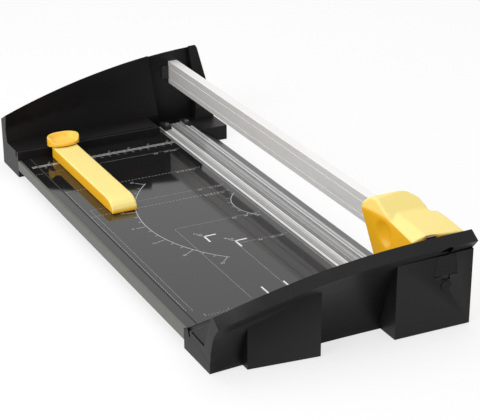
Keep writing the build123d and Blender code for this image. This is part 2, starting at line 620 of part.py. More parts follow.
def cutting_bed():
    """Hollow aluminium extrusion with fine grooves in its top."""
    body = block(BED_LEFT, BED_RIGHT, -BED_END, BED_END, BED_BOTTOM, BOARD_TOP)
    web = BED_WALL * 0.6
    walls = spread(4, BED_LEFT, BED_RIGHT)
    for x0, x1 in zip(walls, walls[1:]):
        body -= block(x0 + web, x1 - web, -BED_END - 1, BED_END + 1,
                      BED_FLOOR, BOARD_TOP - BED_WALL - GROOVE_DEPTH)
    for x in spread(GROOVE_COUNT, BED_LEFT + 5, BED_RIGHT - 4):
        body -= block(x - GROOVE_WIDTH / 2, x + GROOVE_WIDTH / 2, -BED_END - 1, BED_END + 1,
                      BOARD_TOP - GROOVE_DEPTH, BOARD_TOP + 1)
    for x, y in clamp_pin_places():
        body -= post(x, y, BED_FLOOR, BOARD_TOP + 1, SPRING_BORE)
        body -= post(x, y, BED_BOTTOM - 1, BED_FLOOR + 1, PIN_RADIUS)
    for x, y in BED_SCREWS:
        for side in (-1, 1):
            body -= post(x, side * y, BED_BOTTOM - 1, BED_FLOOR + 1, SCREW_RADIUS)
    for y in counter_screw_places():
        body -= bar_x(BED_RIGHT - 3, BED_RIGHT + 1, y, COUNTER_SCREW_Z, SCREW_RADIUS)
    return body


def bed_screws():
    """Screws up through the base plates into the bed."""
    return [screw(x, side * y, SEAT_Z, SCREW_RADIUS, 9.0, FOOT_HEAD, "-Z")
            for side in (-1, 1) for x, y in BED_SCREWS]


def counter_blade():
    """Hardened strip down the right side of the bed."""
    strip = block(BED_RIGHT, CUT_X, -BED_END, BED_END, BOARD_TOP - COUNTER_HEIGHT, BOARD_TOP)
    for y in counter_screw_places():
        strip -= bar_x(BED_RIGHT - 1, CUT_X + 1, y, COUNTER_SCREW_Z, SCREW_RADIUS + FIT)
        strip -= bar_x(CUT_X - COUNTER_SINK, CUT_X + 1, y, COUNTER_SCREW_Z, 2.9)
    return strip


def counter_screws():
    """Flush screws that hold the counter blade to the bed."""
    seat = CUT_X - COUNTER_SINK
    return [bar_x(seat, CUT_X - 0.1, y, COUNTER_SCREW_Z, 2.8) + bar_x(BED_RIGHT - 2.5, seat, y, COUNTER_SCREW_Z,
                                                                     SCREW_RADIUS)
            for y in counter_screw_places()]


def apron():
    """Hollow sloped extrusion from the cutting edge down to the table."""
    left = CUT_X
    top = BOARD_TOP - APRON_DROP
    toe = CAP_BOTTOM + 1.4
    low = CAP_BOTTOM + APRON_WALL
    outer = prism_y(((left, CAP_BOTTOM), (left, top), (left + 2, top), (left + APRON_RUN, toe),
                     (left + APRON_RUN, CAP_BOTTOM)), -HALF_SPAN, HALF_SPAN)
    inner = prism_y(((left + APRON_WALL, low), (left + APRON_WALL, top - APRON_WALL),
                     (left + 2, top - APRON_WALL), (left + APRON_RUN - 6, low)), -HALF_SPAN - 1, HALF_SPAN + 1)
    return outer - inner


# ================= rail =================
def rail_socket(y0, y1):
    """The rail's hollow, and the hole in a wall for the plug that fills it."""
    return block(RAIL_LEFT + RAIL_WALL, RAIL_RIGHT - RAIL_WALL, y0, y1,
                 RAIL_BOTTOM + RAIL_WALL, RAIL_TOP - RAIL_WALL)


def rail_screw_places():
    """Two screws at each end of the rail."""
    near = [RAIL_NEAR_Y + step for step in RAIL_SCREW_STEP]
    return near + [RAIL_FAR_Y - step for step in RAIL_SCREW_STEP]


def guide_rail():
    """Hollow aluminium rail with two shallow lines along each side."""
    body = block(RAIL_LEFT, RAIL_RIGHT, RAIL_NEAR_Y, RAIL_FAR_Y, RAIL_BOTTOM, RAIL_TOP)
    body -= rail_socket(RAIL_NEAR_Y - 1, RAIL_FAR_Y + 1)
    for x in (RAIL_LEFT, RAIL_RIGHT):
        for z, width in ((RAIL_GROOVE_Z, RAIL_GROOVE), (RAIL_LEDGE_Z, RAIL_LEDGE)):
            body -= block(x - 0.7, x + 0.7, RAIL_NEAR_Y - 1, RAIL_FAR_Y + 1,
                          RAIL_BOTTOM + z - width / 2, RAIL_BOTTOM + z + width / 2)
    for y in rail_screw_places():
        body -= post(RAIL_X, y, RAIL_BOTTOM - 1, RAIL_BOTTOM + RAIL_WALL + 1, SCREW_RADIUS + FIT)
        body -= post(RAIL_X, y, RAIL_BOTTOM - 1, RAIL_BOTTOM + 1.4, 3.0)
    return body


def rail_screws():
    """Flush screws up into the brackets' plugs."""
    return [post(RAIL_X, y, RAIL_BOTTOM + 0.1, RAIL_BOTTOM + 1.4, 2.8) + post(
        RAIL_X, y, RAIL_BOTTOM + 1.4, RAIL_BOTTOM + 8.0, SCREW_RADIUS) for y in rail_screw_places()]


def bracket_back(side):
    """Face of a cap's wall that a rail bracket stands against."""
    return NEAR_WALL_Y - LINER_WALL if side < 0 else FAR_WALL_Y + WALL


def bracket_screw_places(side):
    """Two screws through each bracket's toe."""
    y = bracket_back(side) + (BRACKET_TOE / 2 if side < 0 else BRACKET_TOE - 5.0)
    return [(RAIL_X + step, y) for step in BRACKET_SCREWS]


def rail_bracket(side):
    """Steel post behind a cap's wall, with a toe and a plug that fills the rail's end."""
    back = bracket_back(side)
    thick = POST_THICK if side < 0 else 2 * POST_THICK
    wall_y = NEAR_WALL_Y if side < 0 else FAR_WALL_Y
    plug_top = RAIL_TOP - RAIL_WALL - PLUG_DROP
    left = RAIL_X - BRACKET_LEFT
    right = RAIL_X + BRACKET_RIGHT
    low, high = sorted((back, back + side * thick))
    upright = block(left, right, low, high, PLATE_TOP, plug_top)
    low, high = sorted((back + side * thick, back + BRACKET_TOE))
    toe = block(left, right, low, high, PLATE_TOP, PLATE_TOP + BRACKET_SHEET)
    low, high = sorted((back, wall_y - side * PLUG_DEPTH))
    plug = block(RAIL_LEFT + RAIL_WALL + FIT, RAIL_RIGHT - RAIL_WALL - FIT, low, high,
                 RAIL_BOTTOM + RAIL_WALL, plug_top)
    body = upright + toe + plug
    for y in rail_screw_places():
        body -= post(RAIL_X, y, RAIL_BOTTOM + RAIL_WALL - 1, RAIL_BOTTOM + 8.5, SCREW_RADIUS)
    for x, y in bracket_screw_places(side):
        body -= post(x, y, PLATE_TOP - 1, PLATE_TOP + BRACKET_SHEET + 1, SCREW_RADIUS + FIT)
    return body


def bracket_screws():
    """Screws down through the brackets' toes into the base plates."""
    return [screw(x, y, PLATE_TOP + BRACKET_SHEET, SCREW_RADIUS, 5.5, PAN_HEAD)
            for side in (-1, 1) for x, y in bracket_screw_places(side)]


def buffers():
    """Rubber pads on the caps' walls, beside the rail, that stop the head."""
    left, right, low, high = BUFFER
    length = HEAD_NEAR_GAP - GAP
    return (block(left, right, NEAR_WALL_Y, NEAR_WALL_Y + length, low, high),
            block(left, right, FAR_WALL_Y - length, FAR_WALL_Y, low, high))


# ================= head =================
CARRIAGE_MID = HEAD_NEAR_Y + BLADE_SHARE * HEAD_LENGTH
CARRIAGE_Y0, CARRIAGE_Y1 = (HEAD_NEAR_Y + share * HEAD_LENGTH for share in CARRIAGE_SPAN)
CARRIAGE_TOP = RAIL_TOP + SHOE + 1.2
CARRIAGE_BOTTOM = RAIL_BOTTOM - SHOE - 1.6
CARRIAGE_RIGHT = RAIL_RIGHT + 2.4
ARM_LEFT = RAIL_RIGHT - 7.0
WEB_TOP = CARRIAGE_TOP + 2.0
BLADE_LEFT = CUT_X + BLADE_GAP
BLADE_RIGHT = BLADE_LEFT + BLADE_THICK
BLADE_Z = BOARD_TOP - BLADE_BITE + BLADE_RADIUS
HUB_BORE = AXLE_RADIUS + 1.6
HUB_RIGHT = BLADE_RIGHT + HUB_FLANGE
NUT_LEFT = HUB_RIGHT + BLADE_SPRING
AXLE_RIGHT = NUT_LEFT + 4.0
CLAMP_BOTTOM = BOARD_TOP + CLAMP_LIFT
CLAMP_TOP = CLAMP_BOTTOM + CLAMP_THICK
ROLLER_Z = CLAMP_TOP + GAP + ROLLER_RADIUS
CARRIAGE_CENTRE = (CARRIAGE_Y0 + CARRIAGE_Y1) / 2
HEAD_SCREWS = (CARRIAGE_CENTRE, CARRIAGE_CENTRE + 6.0)


def flat_outline(points, inset):
    """A closed outline, or its hollow when inset is a wall; the hollow is open below."""
    low = min(b for _, b in points)
    drop = 2 * inset + 1 if inset else 0.0
    spots = [(a, b - drop) if b == low else (a, b) for a, b in points]
    face = make_face(Polyline(*spots, close=True))
    return offset(face, -inset, kind=Kind.INTERSECTION) if inset else face


def crossed(front, side, inset=0.0):
    """Front view and side view carried through each other; the side view is in shares of the head's length."""
    moved = [(HEAD_NEAR_Y + share * HEAD_LENGTH, z) for share, z in side]
    across = extrude(Plane.XZ * flat_outline(front, inset), amount=400, both=True)
    along = extrude(Plane.YZ * flat_outline(moved, inset), amount=200, both=True)
    return across & along


def flank(inset, low, high):
    """The head between two heights: upright sides, but the left one flares out towards its far top corner."""
    faces = []
    for z in (low, high):
        flare = FLARE_FOOT - FLARE_LEAN * (z - HEAD_BOTTOM)
        corners = ((FLANK_X, 0.0), (FLANK_X, FLANK_TURN), (flare, 1.0)) + FLANK_RIGHT
        face = make_face(Polyline(*[(x, HEAD_NEAR_Y + share * HEAD_LENGTH, z) for x, share in corners], close=True))
        faces.append(offset(face, -inset, kind=Kind.INTERSECTION) if inset else face)
    return loft(faces, ruled=True)


def under(shape, tops, inset):
    """The part of a shape below all the planes, each lowered by an inset."""
    for corners in tops:
        first, second, third = (Vector(x, HEAD_NEAR_Y + share * HEAD_LENGTH, z) for x, share, z in corners)
        normal = (second - first).cross(third - first).normalized()
        if normal.Z < 0:
            normal = normal * -1
        shape = split(shape, bisect_by=Plane(origin=first - normal * inset, z_dir=normal), keep=Keep.BOTTOM)
    return shape


def grip(inset, drop):
    """The grip's solid, or its hollow when inset is a wall."""
    near = under(flank(inset, HEAD_BOTTOM - drop, HEAD_TOP), SLAB_TOPS, inset)
    hump = under(flank(inset, RAIL_BOTTOM, HEAD_TOP + 5.0), HUMP_TOPS, inset)
    skirt = under(crossed(SKIRT_FRONT, SKIRT_SIDE, inset), SLAB_TOPS[1:], inset)
    x, share, z = DIMPLE_AT
    dimple = Pos(x, HEAD_NEAR_Y + share * HEAD_LENGTH, z) * scale(Sphere(1), by=tuple(r + inset for r in DIMPLE_SIZE))
    return near + hump + skirt - dimple


def rail_block(margin, y0, y1):
    """The rail's outline, grown by a margin."""
    return block(RAIL_LEFT - margin, RAIL_RIGHT + margin, y0, y1, RAIL_BOTTOM - margin, RAIL_TOP + margin)


def head_shell():
    """Yellow grip, open underneath, with a web for its screws and a finger dimple."""
    outer = grip(0.0, 0.0)
    inner = grip(HEAD_WALL, 4.0)
    low, high = (HEAD_NEAR_Y + share * HEAD_LENGTH for share in WEB_SPAN)
    web = block(FLANK_X, CUT_X + 29.0, low, high, CARRIAGE_TOP, WEB_TOP)
    for y in HEAD_SCREWS:
        web -= post(RAIL_X, y, CARRIAGE_TOP - 1, WEB_TOP + 1, SCREW_RADIUS + FIT)
    passage = rail_block(0.5, HEAD_NEAR_Y - 5, HEAD_FAR_Y + 5)
    return outer - inner + (web & inner) - passage


def carriage():
    """Nylon body that wraps the rail and carries the blade's arm and the roller's fork."""
    body = block(RAIL_LEFT - CARRIAGE_SIDE, CARRIAGE_RIGHT, CARRIAGE_Y0, CARRIAGE_Y1, CARRIAGE_BOTTOM, CARRIAGE_TOP)
    body += block(ARM_LEFT, CARRIAGE_RIGHT, CARRIAGE_MID - 10, CARRIAGE_MID + 10, BLADE_Z - 9, CARRIAGE_BOTTOM)
    body += block(ROLLER_X - FORK_HALF, ROLLER_X + FORK_HALF, CARRIAGE_MID - 6, CARRIAGE_MID + 6,
                  ROLLER_Z - 3, CARRIAGE_BOTTOM + 1)
    body -= rail_block(SHOE / 2, CARRIAGE_Y0 - 1, CARRIAGE_Y1 + 1)
    body -= rail_block(SHOE, CARRIAGE_Y0 - 1, CARRIAGE_Y0 + SHOE_LENGTH)
    body -= rail_block(SHOE, CARRIAGE_Y1 - SHOE_LENGTH, CARRIAGE_Y1 + 1)
    slot_half = ROLLER_WIDTH / 2 + GAP
    body -= block(ROLLER_X - slot_half, ROLLER_X + slot_half, CARRIAGE_MID - 7, CARRIAGE_MID + 7,
                  0, ROLLER_Z + ROLLER_RADIUS + 1)
    body -= bar_x(ROLLER_X - 15, ROLLER_X + 15, CARRIAGE_MID, ROLLER_Z, ROLLER_PIN)
    body -= bar_x(ARM_LEFT - 5, CARRIAGE_RIGHT + 5, CARRIAGE_MID, BLADE_Z, AXLE_RADIUS)
    for y in HEAD_SCREWS:
        body -= post(RAIL_X, y, RAIL_TOP, CARRIAGE_TOP + 1, SCREW_RADIUS)
    return body


def slide_shoes():
    """Two acetal rings between the carriage and the rail."""
    spans = ((CARRIAGE_Y0, CARRIAGE_Y0 + SHOE_LENGTH), (CARRIAGE_Y1 - SHOE_LENGTH, CARRIAGE_Y1))
    return [rail_block(SHOE, low, high) - rail_block(FIT, low - 1, high + 1) for low, high in spans]


def blade_disc():
    """Round blade with a ground bevel on its outer side."""
    disc = bar_x(BLADE_LEFT, BLADE_RIGHT, CARRIAGE_MID, BLADE_Z, BLADE_RADIUS)
    disc = chamfer(disc.edges().group_by(Axis.X)[-1], BLADE_THICK * 0.7)
    return disc - bar_x(BLADE_LEFT - 1, BLADE_RIGHT + 1, CARRIAGE_MID, BLADE_Z, HUB_BORE)


def blade_hub():
    """Flanged bush that holds the blade and runs on the axle."""
    hub = bar_x(BLADE_RIGHT, HUB_RIGHT, CARRIAGE_MID, BLADE_Z, HUB_RADIUS)
    hub += bar_x(BLADE_LEFT, HUB_RIGHT, CARRIAGE_MID, BLADE_Z, HUB_BORE)
    return hub - bar_x(BLADE_LEFT - 1, HUB_RIGHT + 1, CARRIAGE_MID, BLADE_Z, AXLE_RADIUS + FIT)


def blade_axle():
    """Steel stud through the carriage's arm."""
    stud = bar_x(ARM_LEFT, AXLE_RIGHT, CARRIAGE_MID, BLADE_Z, AXLE_RADIUS)
    return stud + bar_x(ARM_LEFT - 2.5, ARM_LEFT, CARRIAGE_MID, BLADE_Z, AXLE_RADIUS + 2.5)


def blade_nut():
    """Hexagon nut on the axle's end."""
    nut = extrude(RegularPolygon(AXLE_RADIUS + 2.4, 6), amount=3.0)
    nut = Pos(NUT_LEFT, CARRIAGE_MID, BLADE_Z) * Rot(0, 90, 0) * nut
    return nut - bar_x(NUT_LEFT - 1, AXLE_RIGHT, CARRIAGE_MID, BLADE_Z, AXLE_RADIUS)


def press_roller():
    """Rubber roller that rolls along the clamp."""
    half = ROLLER_WIDTH / 2
    return bar_x(ROLLER_X - half, ROLLER_X + half, CARRIAGE_MID, ROLLER_Z, ROLLER_RADIUS) - bar_x(
        ROLLER_X - 15, ROLLER_X + 15, CARRIAGE_MID, ROLLER_Z, ROLLER_PIN + FIT)


def head_screws():
    """Screws down through the grip's web into the carriage."""
    return [screw(RAIL_X, y, WEB_TOP, SCREW_RADIUS, WEB_TOP - RAIL_TOP - 1.0, PAN_HEAD) for y in HEAD_SCREWS]


# ================= clamp =================
CARRIER_TOP = CLAMP_TOP + CARRIER_HEIGHT
CLAMP_RIGHT = CLAMP_LEFT + CLAMP_WIDTH
CLAMP_END = HALF_SPAN + CLAMP_TAIL
RIBS = ((CLAMP_LEFT + 9, CLAMP_LEFT + 11), (CLAMP_RIGHT - 9, CLAMP_RIGHT - 7))


def clamp_pin_places():
    """Two guide pins at each end of the clamp."""
    return [(x, side * (CLAMP_END - PIN_INSET)) for side in (-1, 1) for x in (CLAMP_LEFT + 6.6, CLAMP_RIGHT - 4)]


def clamp_strip():
    """Clear strip with two ribs along it and a bevel on its left edge."""
    strip = prism_y(((CLAMP_LEFT, CLAMP_BOTTOM), (CLAMP_LEFT, CLAMP_BOTTOM + 0.8), (CLAMP_LEFT + 6, CLAMP_TOP),
                     (CLAMP_RIGHT, CLAMP_TOP), (CLAMP_RIGHT, CLAMP_BOTTOM)), -CLAMP_END, CLAMP_END)
    for left, right in RIBS:
        strip += block(left, right, -CLAMP_END, CLAMP_END, CLAMP_TOP - 1, CLAMP_TOP + CLAMP_RIB)
    for x, y in clamp_pin_places():
        strip -= post(x, y, CLAMP_BOTTOM - 1, CARRIER_TOP, PIN_RADIUS + FIT)
    return strip


def clamp_carriers():
    """Black lugs on the clamp's ends, which run on the pins."""
    shapes = []
    for side in (-1, 1):
        low, high = sorted((side * (HALF_SPAN + 2.6), side * CLAMP_END))
        for left, right in (CARRIER_LEFT, CARRIER_RIGHT):
            lug = block(left, right, low, high, CLAMP_TOP - 1.8, CARRIER_TOP)
            lug -= prism_y(((CLAMP_LEFT - 1, CLAMP_BOTTOM - 5), (CLAMP_LEFT, CLAMP_BOTTOM + 0.8),
                            (CLAMP_LEFT + 6, CLAMP_TOP), (CLAMP_RIGHT + 1, CLAMP_TOP),
                            (CLAMP_RIGHT + 1, CLAMP_BOTTOM - 5)), low - 1, high + 1)
            for rib_left, rib_right in RIBS:
                lug -= block(rib_left, rib_right, low - 1, high + 1, CLAMP_TOP - 1, CLAMP_TOP + CLAMP_RIB)
            for x, y in clamp_pin_places():
                lug -= post(x, y, CLAMP_TOP - 3, CARRIER_TOP + 1, PIN_RADIUS + FIT)
            shapes.append(lug)
    return shapes


def clamp_pins():
    """Headed pins that stand in the bed."""
    top = CARRIER_TOP + 0.1
    return [post(x, y, BED_BOTTOM, top, PIN_RADIUS) + post(x, y, top, top + 1.2, PIN_RADIUS + 1.1)
            for x, y in clamp_pin_places()]


def clamp_springs():
    """Lift springs around the pins, in bores of the bed."""
    return [spring(x, y, BED_FLOOR, PIN_SPRING, 0.6, CLAMP_BOTTOM - BED_FLOOR, 6) for x, y in clamp_pin_places()]


# ================= paper stop =================
STOP_RIGHT = STOP_LEFT + STOP_WIDTH
STOP_FAR = HALF_SPAN - STOP_SETBACK
STOP_NEAR = STOP_FAR - STOP_LENGTH
STOP_BASE = BOARD_TOP + STOP_FLOAT
STOP_TOP = STOP_BASE + STOP_HEIGHT
STOP_MID = (STOP_LEFT + STOP_RIGHT) / 2
LEVER_Y = STOP_FAR - 2.0
LEVER_Z = STOP_TOP + LEVER_PIN_RISE
LEVER_NEAR = STOP_FAR - THUMB_NEAR
LEVER_FAR = STOP_FAR + THUMB_FAR
HOOK_FAR = HALF_SPAN + SLOT_SETBACK + SLOT_WIDTH - GAP
HOOK_THICK = SLOT_WIDTH - 2 * GAP
EARS = (STOP_LEFT + EAR_INSET, STOP_RIGHT - EAR_INSET)


def stop_outline(inset, drop):
    """The bar, with its nose sloping down to the board, or its hollow."""
    low = STOP_BASE - drop
    top = STOP_TOP - inset
    near = STOP_NEAR + inset
    far = STOP_FAR - inset
    rise = top - low
    nose = [(near + STOP_NOSE * (1 - math.cos(turn)), low + rise * math.sin(turn))
            for turn in (math.radians(step) for step in NOSE_STEPS)]
    side = [(near, low)] + nose + [(near + STOP_NOSE, top), (far, top), (far, low)]
    return prism_x(side, STOP_LEFT + inset, STOP_RIGHT - inset)


def stop_bar():
    """Hollow yellow bar with a hook that runs in the far cap's slot."""
    outer = stop_outline(0.0, 0.0)
    rim = [edge for edge in outer.edges() if edge.center().Z > STOP_BASE + 3 and edge.center().Y < STOP_FAR - 1]
    body = fillet(rim, 1.6) - stop_outline(STOP_WALL, 1.0)
    left = STOP_LEFT + 3
    right = STOP_RIGHT - 3
    bridge_z = LEDGE_Z + GAP
    body += block(left, right, STOP_FAR - 8, HOOK_FAR, bridge_z, bridge_z + 2.6)
    body += block(left, right, HOOK_FAR - HOOK_THICK, HOOK_FAR, LEDGE_Z - SLOT_DEPTH + 1, bridge_z + 1)
    for x in EARS:
        body += block(x - EAR_HALF, x + EAR_HALF, LEVER_Y - 2.4, LEVER_Y + 2.0, STOP_TOP - 2, LEVER_Z + 2.0)
    return body - bar_x(STOP_LEFT, STOP_RIGHT, LEVER_Y, LEVER_Z, LEVER_PIN_RADIUS)


def stop_lever():
    """Thumb cap that swings up on its pin; its toe presses on the hook's bridge when it is down."""
    left = STOP_MID - THUMB_WIDTH / 2
    right = STOP_MID + THUMB_WIDTH / 2
    bend = LEVER_FAR - 8
    edge = Polyline((left, bend, 0), (left, LEVER_NEAR, 0), (right, LEVER_NEAR, 0), (right, bend, 0))
    plan = make_face(edge + ThreePointArc((right, bend, 0), (STOP_MID, LEVER_FAR, 0), (left, bend, 0)))
    slab = extrude(plan, amount=2 * THUMB_TOP)
    toe_z = LEDGE_Z + GAP + 2.6 + GAP
    top = ((LEVER_NEAR, LEVER_Z + 3.5), (LEVER_NEAR + 7, THUMB_TOP - 1.5), (LEVER_NEAR + 16, THUMB_TOP - 0.3),
           (LEVER_FAR + 1, THUMB_TOP))
    under = ((LEVER_FAR + 1, THUMB_TOP - 3.2), (LEVER_Y + 12, THUMB_TOP - 5.5), (LEVER_Y + 6.5, toe_z),
             (LEVER_Y + 4.0, toe_z), (LEVER_Y + 2.6, LEVER_Z - 2.1), (LEVER_Y - 2.2, LEVER_Z - 2.1),
             (LEVER_NEAR, LEVER_Z - 0.5))
    body = slab & prism_x(top + under, left - 1, right + 1)
    cheek = ((LEVER_Y + 3.6, LEDGE_Z + 2 * GAP), (LEVER_Y + 3.6, THUMB_TOP - 4), (LEVER_FAR + 1, THUMB_TOP - 1),
             (LEVER_FAR - 4, LEDGE_Z + 2.5))
    for x0, x1 in ((left, left + 3.5), (right - 3.5, right)):
        body += slab & prism_x(cheek, x0, x1)
    for x in EARS:
        body -= block(x - EAR_HALF - GAP, x + EAR_HALF + GAP, LEVER_NEAR - 1, LEVER_Y + 3.4, STOP_TOP - 5, LEVER_Z + 2.6)
    return body - bar_x(left - 1, right + 1, LEVER_Y, LEVER_Z, LEVER_PIN_RADIUS + FIT)


def lever_pin():
    """Steel pin through the bar's ears and the lever."""
    return bar_x(STOP_LEFT + 1, STOP_RIGHT - 1, LEVER_Y, LEVER_Z, LEVER_PIN_RADIUS)


# ================= door and catch =================
BLOCK_RISE = (RIGHT_BLOCK[1][1] - RIGHT_BLOCK[0][1]) / (RIGHT_BLOCK[1][0] - RIGHT_BLOCK[0][0])
DOOR_FACE = FOOT_LINE + RIGHT_BLOCK[0][1] + BLOCK_RISE * (DOOR_X - RIGHT_BLOCK[0][0])
DOOR_PLACE = Pos(DOOR_X, -DOOR_FACE, 0) * Rot(0, 0, -math.degrees(math.atan(BLOCK_RISE)))
DOOR_PIN_Z = DOOR_BOTTOM + DOOR_THICK / 2


def door_outline(margin):
    """Front view of the door about its own middle."""
    return ((-DOOR_LOW - margin, DOOR_BOTTOM - margin), (-DOOR_HIGH - margin, DOOR_TOP + margin),
            (DOOR_HIGH + margin, DOOR_TOP + margin), (DOOR_LOW + margin, DOOR_BOTTOM - margin))


def door_pin():
    """Wire that the door swings on; its ends sit in the cover's wall."""
    return DOOR_PLACE * bar_x(-DOOR_PIN_HALF, DOOR_PIN_HALF, DOOR_THICK / 2, DOOR_PIN_Z, DOOR_PIN_RADIUS)


def door_cut():
    """Opening for the door, its slot, the catch's bore and the finger notch."""
    bottom, width, depth = DOOR_SLOT
    opening = prism_y(door_outline(GAP), -6, 6)
    opening += block(-width / 2, width / 2, -6, depth, bottom, DOOR_BOTTOM)
    opening += rod(0.5, 0, CATCH_Z, CATCH_RADIUS + GAP, 12, "Y")
    opening += bar_x(-DOOR_PIN_HALF, DOOR_PIN_HALF, DOOR_THICK / 2, DOOR_PIN_Z, DOOR_PIN_RADIUS)
    x, z, radius = NOTCH
    return DOOR_PLACE * opening + rod(x, -DOOR_FACE - 4, z, radius, 12, "Y")


def door():
    """Flat door with a rounded hinge edge."""
    panel = prism_y(door_outline(0.0), 0, DOOR_THICK)
    hinge = [edge for edge in panel.edges().filter_by(Axis.X) if edge.center().Z < DOOR_BOTTOM + 0.1]
    panel = fillet(hinge, DOOR_THICK * 0.48)
    panel -= bar_x(-2 * DOOR_LOW, 2 * DOOR_LOW, DOOR_THICK / 2, DOOR_PIN_Z, DOOR_PIN_RADIUS + FIT)
    return DOOR_PLACE * panel


def door_catch():
    """Round push button with a flange behind the wall."""
    knob = rod(0.5, (WALL - CATCH_PROUD) / 2, CATCH_Z, CATCH_RADIUS, WALL + CATCH_PROUD, "Y")
    flange = rod(0.5, WALL + GAP + 0.3, CATCH_Z, CATCH_FLANGE, 0.6, "Y")
    return DOOR_PLACE * (knob + flange + rod(0.5, WALL + 0.2, CATCH_Z, CATCH_RADIUS, 0.6, "Y"))


# ================= feet and fixings =================
def rubber_feet():
    """Six pads under the base plates."""
    from_side, from_board = FOOT_INSET
    return [post(x, side * (HALF_SPAN + from_board), 0, CAP_BOTTOM, FOOT_RADIUS)
            for side in (-1, 1) for x in (from_side - HALF_W, 0.0, HALF_W - from_side)]


def plate_screws(places):
    """Screws up through a base plate into the cap's bosses."""
    return [screw(x, y, SEAT_Z, SCREW_RADIUS, 10.5, FOOT_HEAD, "-Z") for x, y in places]


near_cover, near_panel, near_liner, near_plate = near_cap()
far_wall, far_cover, far_plate = far_cap()
node("board_panel", board_panel())
node("board_edge_strip", edge_strip())
node("board_screws", *board_screws())
node("board_tray", tray())
node("tray_channels", *channels())
node("channel_screws", *channel_screws())
node("cutting_bed", cutting_bed())
node("bed_screws", *bed_screws())
node("counter_blade", counter_blade())
node("counter_blade_screws", *counter_screws())
node("waste_apron", apron())
node("near_cover", near_cover)
node("near_ramp_panel", near_panel)
node("near_pocket_liner", near_liner)
node("near_base_plate", near_plate)
node("near_plate_screws", *plate_screws(NEAR_BOSSES + LINER_BOSSES))
node("far_wall", far_wall)
node("far_cover", far_cover)
node("far_base_plate", far_plate)
node("far_plate_screws", *plate_screws(WALL_BOSSES + COVER_BOSSES))
node("rubber_feet", *rubber_feet())
node("guide_rail", guide_rail())
node("rail_screws", *rail_screws())
node("near_rail_bracket", rail_bracket(-1))
node("far_rail_bracket", rail_bracket(1))
node("bracket_screws", *bracket_screws())
node("rail_buffers", *buffers())
node("head_shell", head_shell())
node("head_carriage", carriage())
node("head_screws", *head_screws())
node("slide_shoes", *slide_shoes())
node("blade_disc", blade_disc())
node("blade_hub", blade_hub())
node("blade_axle", blade_axle())
node("blade_spring", spring(HUB_RIGHT, CARRIAGE_MID, BLADE_Z, AXLE_RADIUS + 1.2, 0.8, BLADE_SPRING, 3, "X"))
node("blade_nut", blade_nut())
node("press_roller", press_roller())
node("roller_pin", bar_x(ROLLER_X - FORK_HALF, ROLLER_X + FORK_HALF, CARRIAGE_MID, ROLLER_Z, ROLLER_PIN))
node("clamp_strip", clamp_strip())
node("clamp_carriers", *clamp_carriers())
node("clamp_pins", *clamp_pins())
node("clamp_springs", *clamp_springs())
node("stop_bar", stop_bar())
node("stop_lever", stop_lever())
node("stop_lever_pin", lever_pin())
node("adjuster_door", door())
node("adjuster_door_pin", door_pin())
node("door_catch", door_catch())

os.makedirs("parts", exist_ok=True)
for name, solids in NODES.items():
    export_step(Compound(children=solids), f"parts/{name}.step")
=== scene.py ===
# %% [markdown]
# A rotary paper trimmer: a printed board between two arched end caps, a yellow cutting head that
# slides on a raised aluminium rail, a clear clamp strip and a yellow paper stop. The working solids
# come ready made from the frame; this lesson dresses them, with finer meshes where edges are seen.

# %% Load the frame
import math
import bmesh
import bpy
from mathutils import Matrix, Vector


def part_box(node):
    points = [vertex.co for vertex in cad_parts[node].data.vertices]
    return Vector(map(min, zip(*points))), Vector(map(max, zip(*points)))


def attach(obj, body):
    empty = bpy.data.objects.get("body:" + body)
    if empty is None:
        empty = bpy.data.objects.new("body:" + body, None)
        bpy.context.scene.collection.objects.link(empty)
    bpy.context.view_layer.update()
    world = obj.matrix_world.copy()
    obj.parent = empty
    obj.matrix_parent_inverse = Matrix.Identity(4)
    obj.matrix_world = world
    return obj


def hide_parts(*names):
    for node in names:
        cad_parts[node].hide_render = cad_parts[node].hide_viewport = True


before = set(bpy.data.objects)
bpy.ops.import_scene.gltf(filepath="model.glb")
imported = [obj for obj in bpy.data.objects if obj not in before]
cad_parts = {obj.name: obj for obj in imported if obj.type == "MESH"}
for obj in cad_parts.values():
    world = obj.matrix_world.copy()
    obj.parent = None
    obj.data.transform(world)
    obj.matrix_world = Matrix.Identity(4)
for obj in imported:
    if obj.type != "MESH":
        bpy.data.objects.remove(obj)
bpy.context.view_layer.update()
MM = 0.001
BOARD_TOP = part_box("board_panel")[1][2]
print("solids:", len(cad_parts), "board top at", BOARD_TOP)

# %% [markdown]
# Camera. The machine is seen from its near left, from a little above, with a long lens, so its far
# end is only slightly smaller. The camera's place and its two directions are set in one matrix.

# %% Camera
CAMERA_AT = Vector((-0.6595, -1.39435, 0.7078))
CAMERA_FORWARD = Vector((0.40914, 0.81714, -0.40607)).normalized()
CAMERA_RIGHT = Vector((0.89334, -0.44936, -0.00417)).normalized()
CAMERA_LENS = 115.7

camera_data = bpy.data.cameras.new("camera")
camera_data.lens = CAMERA_LENS
camera_data.sensor_width = 36.0
camera_data.clip_end = 50.0
camera = bpy.data.objects.new("camera", camera_data)
camera_up = CAMERA_RIGHT.cross(CAMERA_FORWARD)
turn = Matrix((CAMERA_RIGHT, camera_up, -CAMERA_FORWARD)).transposed()
camera.matrix_world = Matrix.Translation(CAMERA_AT) @ turn.to_4x4()
bpy.context.scene.collection.objects.link(camera)
bpy.context.scene.camera = camera
print("camera at", tuple(round(value, 3) for value in CAMERA_AT), "lens", CAMERA_LENS)

# %% [markdown]
# Shader sums. A material's maths is easier to read as an expression than as a list of nodes, so one
# small class wraps a socket and turns + - * / into Math nodes, with the number on either side.


